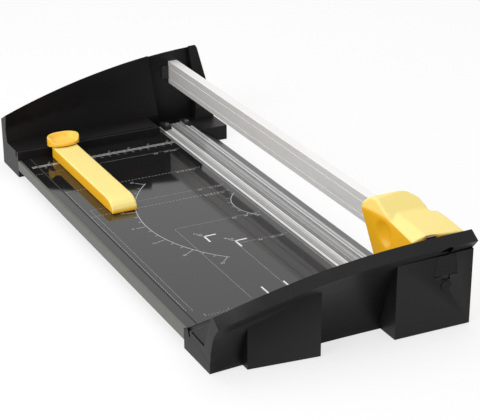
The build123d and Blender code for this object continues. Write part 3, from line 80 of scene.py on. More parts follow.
# %% A socket that can be reckoned with
class Wire:
    """A node's output that takes part in sums."""

    def __init__(self, finish, socket):
        self.finish = finish
        self.socket = socket

    def _sum(self, operation, *values):
        return self.finish.node("ShaderNodeMath", {"operation": operation}, *values)

    def __add__(self, other):
        return self._sum("ADD", self, other)

    def __sub__(self, other):
        return self._sum("SUBTRACT", self, other)

    def __rsub__(self, other):
        return self._sum("SUBTRACT", other, self)

    def __mul__(self, other):
        return self._sum("MULTIPLY", self, other)

    def __truediv__(self, other):
        return self._sum("DIVIDE", self, other)

    def __rtruediv__(self, other):
        return self._sum("DIVIDE", other, self)

    def clipped(self):
        return self._sum("MINIMUM", self._sum("MAXIMUM", self, 0.0), 1.0)

    __radd__ = __add__
    __rmul__ = __mul__


print("sums on sockets:", "+ - * /")

# %% [markdown]
# A material under construction. One method adds any kind of node: its settings come first, because
# some of them change its sockets, and then the values or links. Short methods on top of it name what
# the finishes below use most: a noise, a mix of two colours, a bump and the closing shader.

# %% A material under construction
MIX_FACTOR, MIX_FIRST, MIX_SECOND, MIX_RESULT = 0, 6, 7, 2     # a Mix node's sockets in colour mode


class Finish:
    """A material and the nodes in it."""

    def __init__(self, name):
        self.material = bpy.data.materials.new(name)
        self.material.use_nodes = True
        self.tree = self.material.node_tree
        self.tree.nodes.clear()
        self.output = self.tree.nodes.new("ShaderNodeOutputMaterial")

    def node(self, kind, settings=None, *inputs, out=0, **named):
        """Adds a node, its settings first, then its inputs by place or by name."""
        made = self.tree.nodes.new(kind)
        for key, value in (settings or {}).items():
            if key == "stops":
                ramp = made.color_ramp
                ramp.elements[0].position, ramp.elements[0].color = value[0]
                ramp.elements[1].position, ramp.elements[1].color = value[-1]
                for position, color in value[1:-1]:
                    ramp.elements.new(position).color = color
            else:
                setattr(made, key, value)
        by_name = [(name.replace("_", " "), value) for name, value in named.items()]
        for key, value in list(enumerate(inputs)) + by_name:
            socket = made.inputs[key]
            if isinstance(value, Wire):
                self.tree.links.new(value.socket, socket)
            elif value is not None:
                socket.default_value = value
        return Wire(self, made.outputs[out])

    def place(self, scale=(1.0, 1.0, 1.0)):
        """Object coordinates in metres, stretched."""
        coordinates = self.node("ShaderNodeTexCoord", out="Object")
        return self.node("ShaderNodeMapping", None, Vector=coordinates, Scale=scale)

    def noise(self, scale, detail=3.0, stretch=(1.0, 1.0, 1.0), roughness=0.5):
        return self.node("ShaderNodeTexNoise", None, Vector=self.place(stretch), Scale=scale,
                         Detail=detail, Roughness=roughness)

    def blend(self, factor, first, second):
        """Mixes two colours."""
        made = self.tree.nodes.new("ShaderNodeMix")
        made.data_type = "RGBA"
        for place, value in ((MIX_FACTOR, factor), (MIX_FIRST, first), (MIX_SECOND, second)):
            socket = made.inputs[place]
            if isinstance(value, Wire):
                self.tree.links.new(value.socket, socket)
            else:
                socket.default_value = value if isinstance(value, float) else (*value, 1.0)[:4]
        return Wire(self, made.outputs[MIX_RESULT])

    def bump(self, height, strength, distance):
        return self.node("ShaderNodeBump", None, Strength=strength, Distance=distance, Height=height)

    def shade(self, **sockets):
        """Ends the material in a Principled shader."""
        self.close(self.node("ShaderNodeBsdfPrincipled", None, **sockets))
        print("finish:", self.material.name, "nodes", len(self.tree.nodes))
        return self.material

    def close(self, shader):
        self.tree.links.new(shader.socket, self.output.inputs[0])


# %% [markdown]
# Black moulded plastic. The caps come out of a spark-eroded mould: nearly black, with a fine grain
# that breaks the highlight up, and faint rubbed patches where hands and paper pass. Their sharp edges
# are painted lighter as a painted edge highlight.

# %% Black caps
def black_caps():
    finish = Finish("black_moulding")
    cloud = finish.noise(9.0, 4.0)
    grain = finish.noise(2600.0, 2.0)
    rubbed = finish.noise(38.0, 5.0, (1.0, 0.35, 1.0), 0.7)
    # painted highlight: sharp edges are lightened
    edge = (finish.node("ShaderNodeNewGeometry", out="Pointiness") - 0.5) * 4.0
    # real rubbed patches together with the painted edge highlight
    rubbed_and_edge_highlight = edge.clipped() * 0.6 + (rubbed - 0.58).clipped() * 0.35
    colour = finish.blend(cloud, (0.0052, 0.0047, 0.0050), (0.0082, 0.0075, 0.0079))
    colour = finish.blend(rubbed_and_edge_highlight.clipped(), colour, (0.050, 0.047, 0.048))
    rough = 0.34 + cloud * 0.06 + grain * 0.05
    return finish.shade(Base_Color=colour, Roughness=rough, Specular_IOR_Level=0.13,
                        Normal=finish.bump(grain, 0.18, 0.00010))


BLACK = black_caps()

# %% [markdown]
# Coated board. The steel sheet has a glossy dark coat that mirrors the paper stop and the rail. Dust
# and fine scratches only show as small changes of roughness.

# %% Board coat
def board_coat():
    finish = Finish("glossy_board_coat")
    cloud = finish.noise(14.0, 4.0)
    scratches = finish.noise(90.0, 6.0, (1.0, 14.0, 1.0), 0.8)
    colour = finish.blend(cloud, (0.0095, 0.0088, 0.0092), (0.0130, 0.0122, 0.0128))
    rough = 0.055 + cloud * 0.02 + (scratches - 0.58).clipped() * 0.25
    return finish.shade(Base_Color=colour, Roughness=rough, Normal=finish.bump(cloud, 0.05, 0.0002))


BOARD = board_coat()

# %% [markdown]
# Aluminium. An extruded rail is drawn along its length, so its grain is a noise that is stretched
# more than a hundred times along Y. It changes the roughness and a very slight bump.

# %% Extruded aluminium
def drawn_metal(name, colour, rough, grain_strength, metallic=1.0):
    finish = Finish(name)
    streaks = finish.noise(1500.0, 3.0, (1.0, 0.008, 1.0), 0.6)
    cloud = finish.noise(30.0, 3.0)
    dark = tuple(channel * 0.82 for channel in colour)
    tint = finish.blend(streaks, dark, colour)
    uneven = rough + streaks * 0.12 + cloud * 0.05
    return finish.shade(Base_Color=tint, Metallic=metallic, Roughness=uneven,
                        Normal=finish.bump(streaks, grain_strength, 0.0001))


RAIL = drawn_metal("rail_aluminium", (0.86, 0.85, 0.84), 0.40, 0.10, 0.45)
BED = drawn_metal("bed_aluminium", (0.46, 0.45, 0.45), 0.30, 0.10, 0.8)
BLADE = drawn_metal("ground_steel", (0.62, 0.63, 0.65), 0.18, 0.05)

# %% [markdown]
# Yellow plastic. Semi-gloss and dyed through. Its upward faces are painted paler than the sides as a
# painted highlight of the light from above; the mix follows how far a face looks up. Its sharp edges
# get a pale painted highlight too.

# %% Yellow plastic
def yellow_plastic(name, top_highlight_share):
    finish = Finish(name)
    cloud = finish.noise(16.0, 4.0)
    grain = finish.noise(1900.0, 2.0)
    edge = ((finish.node("ShaderNodeNewGeometry", out="Pointiness") - 0.52) * 5.0).clipped()
    facing = finish.node("ShaderNodeNewGeometry", out="Normal")
    upward = finish.node("ShaderNodeSeparateXYZ", None, facing, out="Z")
    colour = finish.blend(cloud, (0.95, 0.470, 0.008), (0.99, 0.520, 0.012))
    # the pale colour of the painted highlight on upward faces
    pale_top_highlight = finish.blend(cloud, (0.91, 0.730, 0.230), (0.94, 0.775, 0.275))
    # painted highlight: upward faces are mixed towards the pale colour
    colour = finish.blend(((upward - 0.10) * 2.4).clipped() * top_highlight_share, colour, pale_top_highlight)
    # painted highlight: sharp edges are mixed towards a pale colour
    colour = finish.blend(edge * 0.35, colour, (0.98, 0.80, 0.35))
    rough = 0.36 + cloud * 0.08 + grain * 0.05
    return finish.shade(Base_Color=colour, Roughness=rough, Specular_IOR_Level=0.35,
                        Normal=finish.bump(grain, 0.15, 0.0001), Subsurface_Weight=0.06,
                        Subsurface_Radius=(0.004, 0.002, 0.0005))


YELLOW = yellow_plastic("yellow_moulding", 1.0)
LEVER_YELLOW = yellow_plastic("lever_yellow_moulding", 0.35)     # the lever gets less of the painted top highlight

# %% [markdown]
# Clear clamp. It is an extruded strip with ribs along it. Its ribs catch the light and the hollows
# between them look dark, so one ramp across the strip paints these highlights and this shade into its
# colour, and drives its alpha and a bump. That is simpler than modelling each rib, and it stays easy to
# export.

# %% Clear clamp
# share of the strip's width, then how bright it is painted there: painted highlight on a rib, painted shade
# in a hollow
RIB_HIGHLIGHT_AND_SHADE = ((0.0, 1.0), (0.035, 0.9), (0.06, 0.25), (0.20, 0.35), (0.245, 1.0), (0.275, 1.0), (0.31, 0.05),
             (0.47, 0.0), (0.50, 0.55), (0.53, 0.15), (0.62, 0.25), (0.65, 0.75), (0.68, 0.15), (0.755, 0.3),
             (0.775, 0.95), (0.80, 0.9), (0.83, 0.1), (0.90, 0.2), (0.93, 0.7), (1.0, 0.5))


def clear_strip():
    finish = Finish("clear_strip")
    smudge = finish.noise(60.0, 5.0, (1.0, 0.2, 1.0), 0.7)
    left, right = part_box("clamp_strip")[0][0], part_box("clamp_strip")[1][0]
    across = (finish.node("ShaderNodeSeparateXYZ", None, finish.place()) - left) / (right - left)
    stops = [(place, (tone, tone, tone, 1.0)) for place, tone in RIB_HIGHLIGHT_AND_SHADE]
    ribs = finish.node("ShaderNodeValToRGB", {"stops": stops}, across)
    fine = finish.node("ShaderNodeTexWave", {"bands_direction": "X"}, Vector=finish.place(), Scale=150.0,
                       out="Fac")
    lines = (ribs * 0.8 + fine * 0.25).clipped()
    # painted highlights on the ribs and painted shade in the hollows
    colour = finish.blend(lines, (0.16, 0.155, 0.155), (0.92, 0.92, 0.91))
    alpha = (0.40 + lines * 0.45 + smudge * 0.06).clipped()
    return finish.shade(Base_Color=colour, Roughness=0.10 + smudge * 0.1, IOR=1.49, Alpha=alpha,
                        Normal=finish.bump(lines, 0.4, 0.0003))


CLEAR = clear_strip()

# %% [markdown]
# Small finishes. Ink, rubber, nylon, zinc and plain steel only differ in colour, gloss and grain, so
# one function makes them all: a little cloud in the colour and a fine bump.

# %% Small finishes
def simple(name, colour, rough, metallic=0.0, grain=900.0, depth=0.00008, spread=0.15):
    finish = Finish(name)
    cloud = finish.noise(45.0, 4.0)
    fine = finish.noise(grain, 2.0)
    dark = tuple(channel * (1.0 - spread) for channel in colour)
    tint = finish.blend(cloud, dark, colour)
    return finish.shade(Base_Color=tint, Metallic=metallic, Roughness=rough + cloud * 0.08 + fine * 0.05,
                        Normal=finish.bump(fine, 0.2, depth))


PRINT = simple("board_print", (0.50, 0.50, 0.50), 0.45, spread=0.25)
BOLD_PRINT = simple("bold_print", (0.80, 0.80, 0.80), 0.45, spread=0.1)
STRIP = simple("grey_edge_strip", (0.105, 0.108, 0.095), 0.42)
STEEL = simple("zinc_steel", (0.45, 0.45, 0.46), 0.32, 1.0)
ZINC = simple("galvanised_sheet", (0.50, 0.51, 0.53), 0.42, 1.0, 300.0)
RUBBER = simple("black_rubber", (0.016, 0.016, 0.016), 0.75, depth=0.0002)
NYLON = simple("grey_nylon", (0.09, 0.09, 0.095), 0.45)
ACETAL = simple("white_acetal", (0.70, 0.70, 0.67), 0.38)
DARK_METAL = simple("dark_coated_extrusion", (0.020, 0.020, 0.022), 0.38)
TRAY = simple("tray_moulding", (0.020, 0.020, 0.020), 0.55)

# %% [markdown]
# Painting. Each solid gets the finish of the real piece, except the near rail bracket, which is
# dark as painted shade. What the table doesn't name is plain zinc steel: the screws, pins and springs,
# and the blade's axle and nut.

# %% Paint the solids
FINISHES = {
    "board_panel": BOARD, "board_edge_strip": STRIP, "board_tray": TRAY, "tray_channels": ZINC,
    "cutting_bed": BED, "counter_blade": BLADE, "waste_apron": DARK_METAL, "near_cover": BLACK,
    "near_ramp_panel": BLACK, "near_pocket_liner": BLACK, "near_base_plate": TRAY, "far_wall": BLACK,
    "far_cover": BLACK, "far_base_plate": TRAY, "rubber_feet": RUBBER, "guide_rail": RAIL,
    # the near rail bracket gets the dark finish as painted shade
    "near_rail_bracket": DARK_METAL, "far_rail_bracket": ZINC, "rail_buffers": RUBBER, "head_shell": YELLOW,
    "head_carriage": NYLON, "slide_shoes": ACETAL, "blade_disc": BLADE, "blade_hub": ACETAL,
    "press_roller": RUBBER, "clamp_strip": CLEAR, "clamp_carriers": BLACK, "stop_bar": YELLOW,
    "stop_lever": LEVER_YELLOW, "adjuster_door": BLACK, "door_catch": BLACK,
}
for name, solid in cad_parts.items():
    solid.data.materials.clear()
    solid.data.materials.append(FINISHES.get(name, STEEL))
print("plain steel:", [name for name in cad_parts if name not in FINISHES])

# %% [markdown]
# Softened edges. A moulding has no razor edges, and the light on its small rounds is what makes it
# look real. A copy of a solid is merged, its flat faces are joined up again, and a Bevel modifier
# rounds the edges that are sharper than a limit.


# %% A softened copy of a solid
def merged_copy(node, name):
    """The solid's mesh as one skin with its flat faces joined up, in a new object."""
    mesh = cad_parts[node].data.copy()
    shape = bmesh.new()
    shape.from_mesh(mesh)
    bmesh.ops.remove_doubles(shape, verts=shape.verts, dist=1e-6)
    bmesh.ops.dissolve_limit(shape, angle_limit=math.radians(0.6), verts=shape.verts, edges=shape.edges,
                             delimit={"NORMAL"})
    shape.to_mesh(mesh)
    shape.free()
    piece = bpy.data.objects.new(name, mesh)
    bpy.context.scene.collection.objects.link(piece)
    return piece


def flattened(piece):
    """Makes plain geometry of a piece's modifiers."""
    graph = bpy.context.evaluated_depsgraph_get()
    mesh = bpy.data.meshes.new_from_object(piece.evaluated_get(graph))
    piece.modifiers.clear()
    piece.data = mesh


def finished(piece, paint, body, *nodes):
    """Paints the piece, smooths it by angle, and ties it to its body."""
    mesh = piece.data
    mesh.materials.clear()
    mesh.materials.append(paint)
    for face in mesh.polygons:
        face.use_smooth = True
        face.material_index = 0
    mesh.set_sharp_from_angle(angle=math.radians(34.0))
    even = piece.modifiers.new("even", "WEIGHTED_NORMAL")
    even.keep_sharp = True
    flattened(piece)
    if nodes:
        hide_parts(*nodes)
    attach(piece, body)
    print(piece.name, "triangles", sum(len(face.vertices) - 2 for face in piece.data.polygons))
    return piece


def bevelled(piece, width, segments=2, angle=28.0):
    bevel = piece.modifiers.new("edges", "BEVEL")
    bevel.width = width * MM
    bevel.segments = segments
    bevel.limit_method = "ANGLE"
    bevel.angle_limit = math.radians(angle)
    bevel.use_clamp_overlap = True
    flattened(piece)


def softened(node, width, segments=2, body="base"):
    """A finer mesh that stands for a solid, its edges rounded by the width in millimetres."""
    piece = merged_copy(node, node + "_moulded")
    bevelled(piece, width, segments)
    return finished(piece, FINISHES[node], body, node)


CAP_ROUND = 0.9
DOOR_ROUND = 0.25
softened("far_wall", CAP_ROUND, 3)
softened("far_cover", CAP_ROUND, 3)
softened("adjuster_door", DOOR_ROUND, body="door")

# %% [markdown]
# Near cap. Its left end has a narrow slot below the ramp's edge and a shallow three-cornered recess
# under that. Both are cut with a Boolean before the edges are rounded, so their rims are soft too.


# %% Near cap
def prism_along_x(outline, left, right):
    """A closed solid from an outline of (y, z) in millimetres."""
    shape = bmesh.new()
    ends = [[shape.verts.new((x * MM, y * MM, z * MM)) for y, z in outline] for x in (left, right)]
    for end in ends:
        shape.faces.new(end)
    count = len(outline)
    for index in range(count):
        after = (index + 1) % count
        shape.faces.new((ends[0][index], ends[0][after], ends[1][after], ends[1][index]))
    bmesh.ops.recalc_face_normals(shape, faces=shape.faces)
    mesh = bpy.data.meshes.new("cutter")
    shape.to_mesh(mesh)
    shape.free()
    cutter = bpy.data.objects.new("cutter", mesh)
    bpy.context.scene.collection.objects.link(cutter)
    return cutter


def cut(piece, cutter):
    knife = piece.modifiers.new("cut", "BOOLEAN")
    knife.operation = "DIFFERENCE"
    knife.solver = "EXACT"
    knife.object = cutter
    flattened(piece)
    bpy.data.objects.remove(cutter)


near_cap = merged_copy("near_cover", "near_cover_moulded")
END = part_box("near_cover")[0][0] / MM
SLOT = ((-240.9, 25.7), (-290.1, 58.3), (-292.0, 55.4), (-245.6, 24.6), (-247.4, 18.8), (-244.4, 18.4))
SLOT_DEEP = 2.3
RECESS = ((-249.0, 25.4), (-289.5, 52.2), (-277.3, 24.0))
RECESS_DEEP = 0.8
NEAR_CAP_ROUND = 1.1
for outline, deep in ((SLOT, SLOT_DEEP), (RECESS, RECESS_DEEP)):
    cut(near_cap, prism_along_x(outline, END - 1, END + deep))
bevelled(near_cap, NEAR_CAP_ROUND, 3)
finished(near_cap, BLACK, "base", "near_cover")

# %% [markdown]
# Guide rail. An extrusion with crisp edges. Its last two millimetres are let into the near housing,
# so the points of that end are drawn back to the line where the parked head covers it, and the end
# face is painted black with the rubber finish as painted shade.

# %% Guide rail
RAIL_LET_IN = 2.1
RAIL_ROUND = 0.3
END_SHADE_REACH = 0.4        # faces this close to the drawn-back end are painted black as shade
rail = merged_copy("guide_rail", "guide_rail_extrusion")
bevelled(rail, RAIL_ROUND)
rail_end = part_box("guide_rail")[0][1] + RAIL_LET_IN * MM
for point in rail.data.vertices:
    point.co.y = max(point.co.y, rail_end)
finished(rail, RAIL, "base", "guide_rail")
rail.data.materials.append(RUBBER)
# painted shade: the end face takes the black rubber finish
for face in rail.data.polygons:
    if face.center.y < rail_end + END_SHADE_REACH * MM:
        face.material_index = 1

# %% [markdown]
# Cutting head. The grip is one moulding with generous rounds, so a bevel alone looks too crisp. A
# voxel remesh gives it an even skin, and a few passes of smoothing melt its edges together.

# %% Cutting head
def melted(node, width, voxel, passes, paint, body):
    """A moulding with its edges rounded and melted together; sizes in millimetres."""
    piece = merged_copy(node, node + "_moulded")
    if width:
        bevelled(piece, width, 3, 20.0)
    skin = piece.modifiers.new("skin", "REMESH")
    skin.mode = "VOXEL"
    skin.voxel_size = voxel * MM
    melt = piece.modifiers.new("melt", "SMOOTH")
    melt.factor = 0.5
    melt.iterations = passes
    flattened(piece)
    return finished(piece, paint, body, node)


melted("head_shell", 2.6, 1.0, 14, YELLOW, "head")

# %% [markdown]
# Paper stop. The bar is melted in the same way as the head, with fewer passes, because its long
# edges are crisper.

# %% Paper stop
melted("stop_bar", 0.0, 0.9, 7, YELLOW, "stop")

# %% [markdown]
# Thumb lever. It is a dished oval whose rim stands up round its back like a small wall. A shape that
# follows a rule all the way round is easiest to lay down as rings of points, from its middle over
# the rim and down its side.

# %% The lever's rings
LEVER_LOW, LEVER_HIGH = (Vector(corner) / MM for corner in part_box("stop_lever"))
LEVER_FORWARD = 2.6       # the oval sits this much nearer than the solid's middle
LEVER_MIDDLE = (LEVER_LOW + LEVER_HIGH) / 2 - Vector((0.0, LEVER_FORWARD, 0.0))
LEVER_HALF = Vector((19.4, 13.2))
LEVER_FLOOR = 41.3
LEVER_NEAR_RIM = 41.9
LEVER_FOOT = 36.9
OVAL = 2.2                # 2 is an ellipse, more is squarer
LEVER_SEGMENTS = 96
RIM_START = -0.72         # -1 is the near lip and 1 the back; the rim starts to rise here
RIM_RUN = 0.5             # and is level after this share more
LIP_LIFT = 1.6            # how far the near lip's foot stands above the rest of the foot
# share of the oval, then how far the surface has risen from the dish's floor to the rim
DISH = ((0.25, 0.0), (0.50, 0.0), (0.66, 0.05), (0.76, 0.30),
        (0.83, 0.70), (0.88, 0.93), (0.92, 1.0), (0.96, 1.0))


def lever_ring(share, height):
    """One ring of points; the height in millimetres is a function of how far back a point is."""
    ring = []
    for index in range(LEVER_SEGMENTS):
        turn_by = 2 * math.pi * index / LEVER_SEGMENTS
        over, back = math.cos(turn_by), math.sin(turn_by)
        x = LEVER_MIDDLE.x + LEVER_HALF.x * share * math.copysign(abs(over) ** (2 / OVAL), over)
        y = LEVER_MIDDLE.y + LEVER_HALF.y * share * math.copysign(abs(back) ** (2 / OVAL), back)
        ring.append(Vector((x, y, height(back))) * MM)
    return ring


def rim_height(back):
    """Low at the near lip, then quickly up to a level wall round the sides and the back."""
    rise = min(max((back - RIM_START) / RIM_RUN, 0.0), 1.0)
    return LEVER_NEAR_RIM + (LEVER_HIGH.z - LEVER_NEAR_RIM) * rise * rise * (3 - 2 * rise)


def foot_height(back):
    """The near lip stands a little clear of the bar, so that it can dip when the lever tilts."""
    return LEVER_FOOT + LIP_LIFT * max(-back, 0.0)


rings = [lever_ring(share, lambda back, rise=rise: LEVER_FLOOR + (rim_height(back) - LEVER_FLOOR) * rise)
         for share, rise in DISH]
rings += [
    lever_ring(0.985, lambda back: rim_height(back) - 0.5),
    lever_ring(1.0, lambda back: rim_height(back) - 1.5),
    lever_ring(1.0, lambda back: (rim_height(back) + foot_height(back)) / 2),
    lever_ring(0.985, foot_height),
]
print("lever rings:", len(rings), "points in each:", LEVER_SEGMENTS)

# %% [markdown]
# The rings are joined to a skin that looks up, and Solidify gives the moulding its wall below it.

# %% The lever's skin
LEVER_WALL = 1.4
shape = bmesh.new()
loops = [[shape.verts.new(point) for point in ring] for ring in rings]
centre = shape.verts.new(sum(rings[0], Vector()) / LEVER_SEGMENTS)
for index in range(LEVER_SEGMENTS):
    after = (index + 1) % LEVER_SEGMENTS
    shape.faces.new((centre, loops[0][index], loops[0][after]))
    for inner, outer in zip(loops, loops[1:]):
        shape.faces.new((inner[index], outer[index], outer[after], inner[after]))
lever_mesh = bpy.data.meshes.new("stop_lever_moulded")
shape.to_mesh(lever_mesh)
shape.free()
lever = bpy.data.objects.new("stop_lever_moulded", lever_mesh)
bpy.context.scene.collection.objects.link(lever)
wall = lever.modifiers.new("wall", "SOLIDIFY")
wall.thickness = LEVER_WALL * MM
wall.offset = -1.0
flattened(lever)
finished(lever, LEVER_YELLOW, "stop_lever", "stop_lever")
print("lever faces up:", lever_mesh.polygons[0].normal.z > 0)

# %% [markdown]
# Shade line of the edge strip. A fine black strip is painted shade: it stands for the shadow that the
# strip's inner lip casts on the board where the strip grips it.

# %% Edge shade line
SHADE_LINE_WIDTH = 1.3
SHADE_LINE_PROUD = 0.35
SHADE_LINE_ROUND = 0.15
strip_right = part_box("board_edge_strip")[1][0] / MM
panel_near, panel_far = (corner[1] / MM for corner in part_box("board_panel"))
shade_line_foot = BOARD_TOP / MM
shade_line_top = shade_line_foot + SHADE_LINE_PROUD
shade_line_outline = ((panel_near, shade_line_foot), (panel_near, shade_line_top),
                (panel_far, shade_line_top), (panel_far, shade_line_foot))
# painted shade: a black strip on the board along the strip's lip
shade_line = prism_along_x(shade_line_outline, strip_right, strip_right + SHADE_LINE_WIDTH)
shade_line.name = "edge_strip_shade_line"
bevelled(shade_line, SHADE_LINE_ROUND)
finished(shade_line, RUBBER, "base")

# %% [markdown]
# Printed marks. The board carries format lines, a ruler at its far end and a protractor. All of them
# are thin flat marks just above the coat. Rows of equal marks come from one Geometry Nodes tree: a
# line of points, with a small rectangle on each.

# %% A row of marks
PRINT_Z = BOARD_TOP + 0.03 * MM
INK = []
ROW_INPUTS = (
    ("Count", "NodeSocketInt", 2), ("Start", "NodeSocketVector", (0, 0, 0)),
    ("Step", "NodeSocketVector", (0.001, 0, 0)), ("Width", "NodeSocketFloat", 0.001),
    ("Length", "NodeSocketFloat", 0.001), ("Ink", "NodeSocketMaterial", None),
)
ROW_NODES = (
    ("in", "NodeGroupInput"), ("out", "NodeGroupOutput"), ("line", "GeometryNodeMeshLine"),
    ("mark", "GeometryNodeMeshGrid"), ("copy", "GeometryNodeInstanceOnPoints"),
    ("real", "GeometryNodeRealizeInstances"), ("ink", "GeometryNodeSetMaterial"),
)
ROW_LINKS = (
    ("in", "Count", "line", "Count"), ("in", "Start", "line", "Start Location"),
    ("in", "Step", "line", "Offset"), ("in", "Width", "mark", "Size X"),
    ("in", "Length", "mark", "Size Y"), ("in", "Ink", "ink", "Material"),
    ("line", "Mesh", "copy", "Points"), ("mark", "Mesh", "copy", "Instance"),
    ("copy", "Instances", "real", "Geometry"), ("real", "Geometry", "ink", "Geometry"),
    ("ink", "Geometry", "out", "Geometry"),
)


def row_tree():
    tree = bpy.data.node_groups.new("row_of_marks", "GeometryNodeTree")
    face = tree.interface
    for label, kind, default in ROW_INPUTS:
        socket = face.new_socket(label, in_out="INPUT", socket_type=kind)
        if default is not None:
            socket.default_value = default
    face.new_socket("Geometry", in_out="OUTPUT", socket_type="NodeSocketGeometry")
    made = {key: tree.nodes.new(kind) for key, kind in ROW_NODES}
    made["mark"].inputs["Vertices X"].default_value = 2
    made["mark"].inputs["Vertices Y"].default_value = 2
    for source, output, target, into in ROW_LINKS:
        tree.links.new(made[source].outputs[output], made[target].inputs[into])
    return tree


ROW_TREE = row_tree()
print("nodes in the row:", [node.bl_idname for node in ROW_TREE.nodes])

# %% [markdown]
# One row at a time. The tree's inputs are set by their identifiers before the row is evaluated, and
# its result is kept as a plain mesh until all the print is joined.


# %% Lay a row
def marks(start, step, count, width, length, ink=PRINT):
    """A row of rectangles in millimetres; the start is the first one's middle."""
    holder = bpy.data.objects.new("row", bpy.data.meshes.new("row"))
    bpy.context.scene.collection.objects.link(holder)
    row = holder.modifiers.new("row", "NODES")
    row.node_group = ROW_TREE
    values = {
        "Count": count, "Start": (start[0] * MM, start[1] * MM, PRINT_Z),
        "Step": (step[0] * MM, step[1] * MM, 0), "Width": width * MM, "Length": length * MM, "Ink": ink,
    }
    for item in ROW_TREE.interface.items_tree:
        if item.item_type == "SOCKET" and item.in_out == "INPUT":
            row[item.identifier] = values[item.name]
    graph = bpy.context.evaluated_depsgraph_get()
    mesh = bpy.data.meshes.new_from_object(holder.evaluated_get(graph))
    bpy.data.objects.remove(holder)
    INK.append((mesh, ink))


print("print lies above the board by", round((PRINT_Z - BOARD_TOP) / MM, 3), "mm")

# %% [markdown]
# Format lines. The metric sheet sizes are dotted and the inch sizes dashed. A line across the board
# and a line along it meet in the sheet's far left corner. The largest sheet has only the line across,
# because its side would lie off the board.

# %% Format lines
BED_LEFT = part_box("cutting_bed")[0][0] / MM
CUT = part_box("counter_blade")[1][0] / MM
NEAR_EDGE = -237.75      # the sheets are measured from here
LINE_END = -208.0
DOTTED = (2.0, 0.9)
DASHED = (4.2, 2.3)


def line_across(length, left, pattern):
    y = NEAR_EDGE + length
    step, dash = pattern
    count = int((BED_LEFT - 2.0 - left) / step)
    marks((left + dash / 2, y), (step, 0), count, dash, 0.55)


def line_along(width, length, pattern):
    x = CUT - width
    top = NEAR_EDGE + length
    step, dash = pattern
    marks((x, top), (0, -step), int((top - LINE_END) / step), 0.55, dash)


line_across(420.0, -133.0, DOTTED)
line_across(355.6, CUT - 215.9, DASHED)
line_across(297.0, CUT - 210.0, DOTTED)
line_across(279.4, CUT - 215.9, DASHED)
line_across(210.0, CUT - 148.0, DOTTED)
line_across(148.0, CUT - 105.0, DOTTED)
line_along(215.9, 355.6, DASHED)
line_along(210.0, 297.0, DOTTED)
line_along(148.0, 210.0, DOTTED)
line_along(105.0, 148.0, DOTTED)
print("rows of print so far:", len(INK))

# %% [markdown]
# Rulers. The far ruler has inches above its double line and centimetres below it, and the near one
# has inches only. Both count to the left from the plane of the cut.

# %% Rulers
INCH = 25.4
CENTIMETRE = 10
RULER_LEFT = -131.0
RULER_LINES = (203.0, 206.2)
for ruler_y in RULER_LINES:
    marks(((RULER_LEFT + BED_LEFT) / 2, ruler_y), (0, 1), 1, BED_LEFT - RULER_LEFT - 2, 0.8, BOLD_PRINT)
inches = int((CUT - RULER_LEFT) / INCH)
centimetres = int((CUT - RULER_LEFT) / CENTIMETRE)
marks((CUT, 207.8), (-INCH / 4, 0), inches * 4, 0.35, 2.2)
marks((CUT, 208.8), (-INCH, 0), inches + 1, 0.6, 4.6)
marks((CUT, 201.4), (-CENTIMETRE, 0), centimetres, 0.5, 2.8)
marks((CUT, -219.6), (-INCH / 8, 0), inches * 8, 0.3, 2.2)
marks((CUT, -218.0), (-INCH, 0), inches + 1, 0.45, 5.0)
print("ruler:", inches, "inches,", centimetres, "centimetres")

# %% [markdown]
# Protractor. Its arc and the slanted ticks aren't rows, so each is a thin band built from points.


# %% Arcs and slanted marks
def band(points, width, ink=PRINT):
    """A flat band of even width along points in millimetres."""
    shape = bmesh.new()
    rails = []
    for index, point in enumerate(points):
        before = Vector(points[max(index - 1, 0)])
        after = Vector(points[min(index + 1, len(points) - 1)])
        along = (after - before).normalized()
        side = Vector((-along.y, along.x)) * width / 2
        spot = Vector(point)
        rails.append([shape.verts.new(((spot + side * sign).x * MM, (spot + side * sign).y * MM, PRINT_Z))
                      for sign in (1, -1)])
    for one, two in zip(rails, rails[1:]):
        shape.faces.new((one[0], one[1], two[1], two[0]))
    mesh = bpy.data.meshes.new("band")
    shape.to_mesh(mesh)
    shape.free()
    mesh.materials.append(ink)
    INK.append((mesh, ink))


def on_arc(centre, radius, degrees):
    """A point left of the centre; zero degrees is straight to the left."""
    turn_by = math.radians(degrees)
    return (centre[0] - radius * math.cos(turn_by), centre[1] + radius * math.sin(turn_by))


BIG_CENTRE = (73.5, -7.5)
BIG_RADIUS = 150.5
SMALL_CENTRE = (75.0, -3.0)
SMALL_RADIUS = 44.0
LONG_TICK, SHORT_TICK = 12.0, 4.5
band([on_arc(BIG_CENTRE, BIG_RADIUS, angle / 2) for angle in range(-92, 93)], 0.9)
for angle in range(-45, 46, 5):
    reach = LONG_TICK if angle % 15 == 0 else SHORT_TICK
    band([on_arc(BIG_CENTRE, BIG_RADIUS, angle), on_arc(BIG_CENTRE, BIG_RADIUS + reach, angle)], 0.7)
band([on_arc(SMALL_CENTRE, SMALL_RADIUS, angle) for angle in range(-48, 52, 2)], 0.8)
for angle in range(-45, 46, 15):
    inner, outer = (on_arc(SMALL_CENTRE, SMALL_RADIUS + more, angle) for more in (0.0, SHORT_TICK))
    band([inner, outer], 0.6)
print("bands and rows:", len(INK))

# %% [markdown]
# Corner marks. Small prints have a bold angle for the sheet's corner, with a short line that points
# at its size, and two bold strokes near the board's near edge.

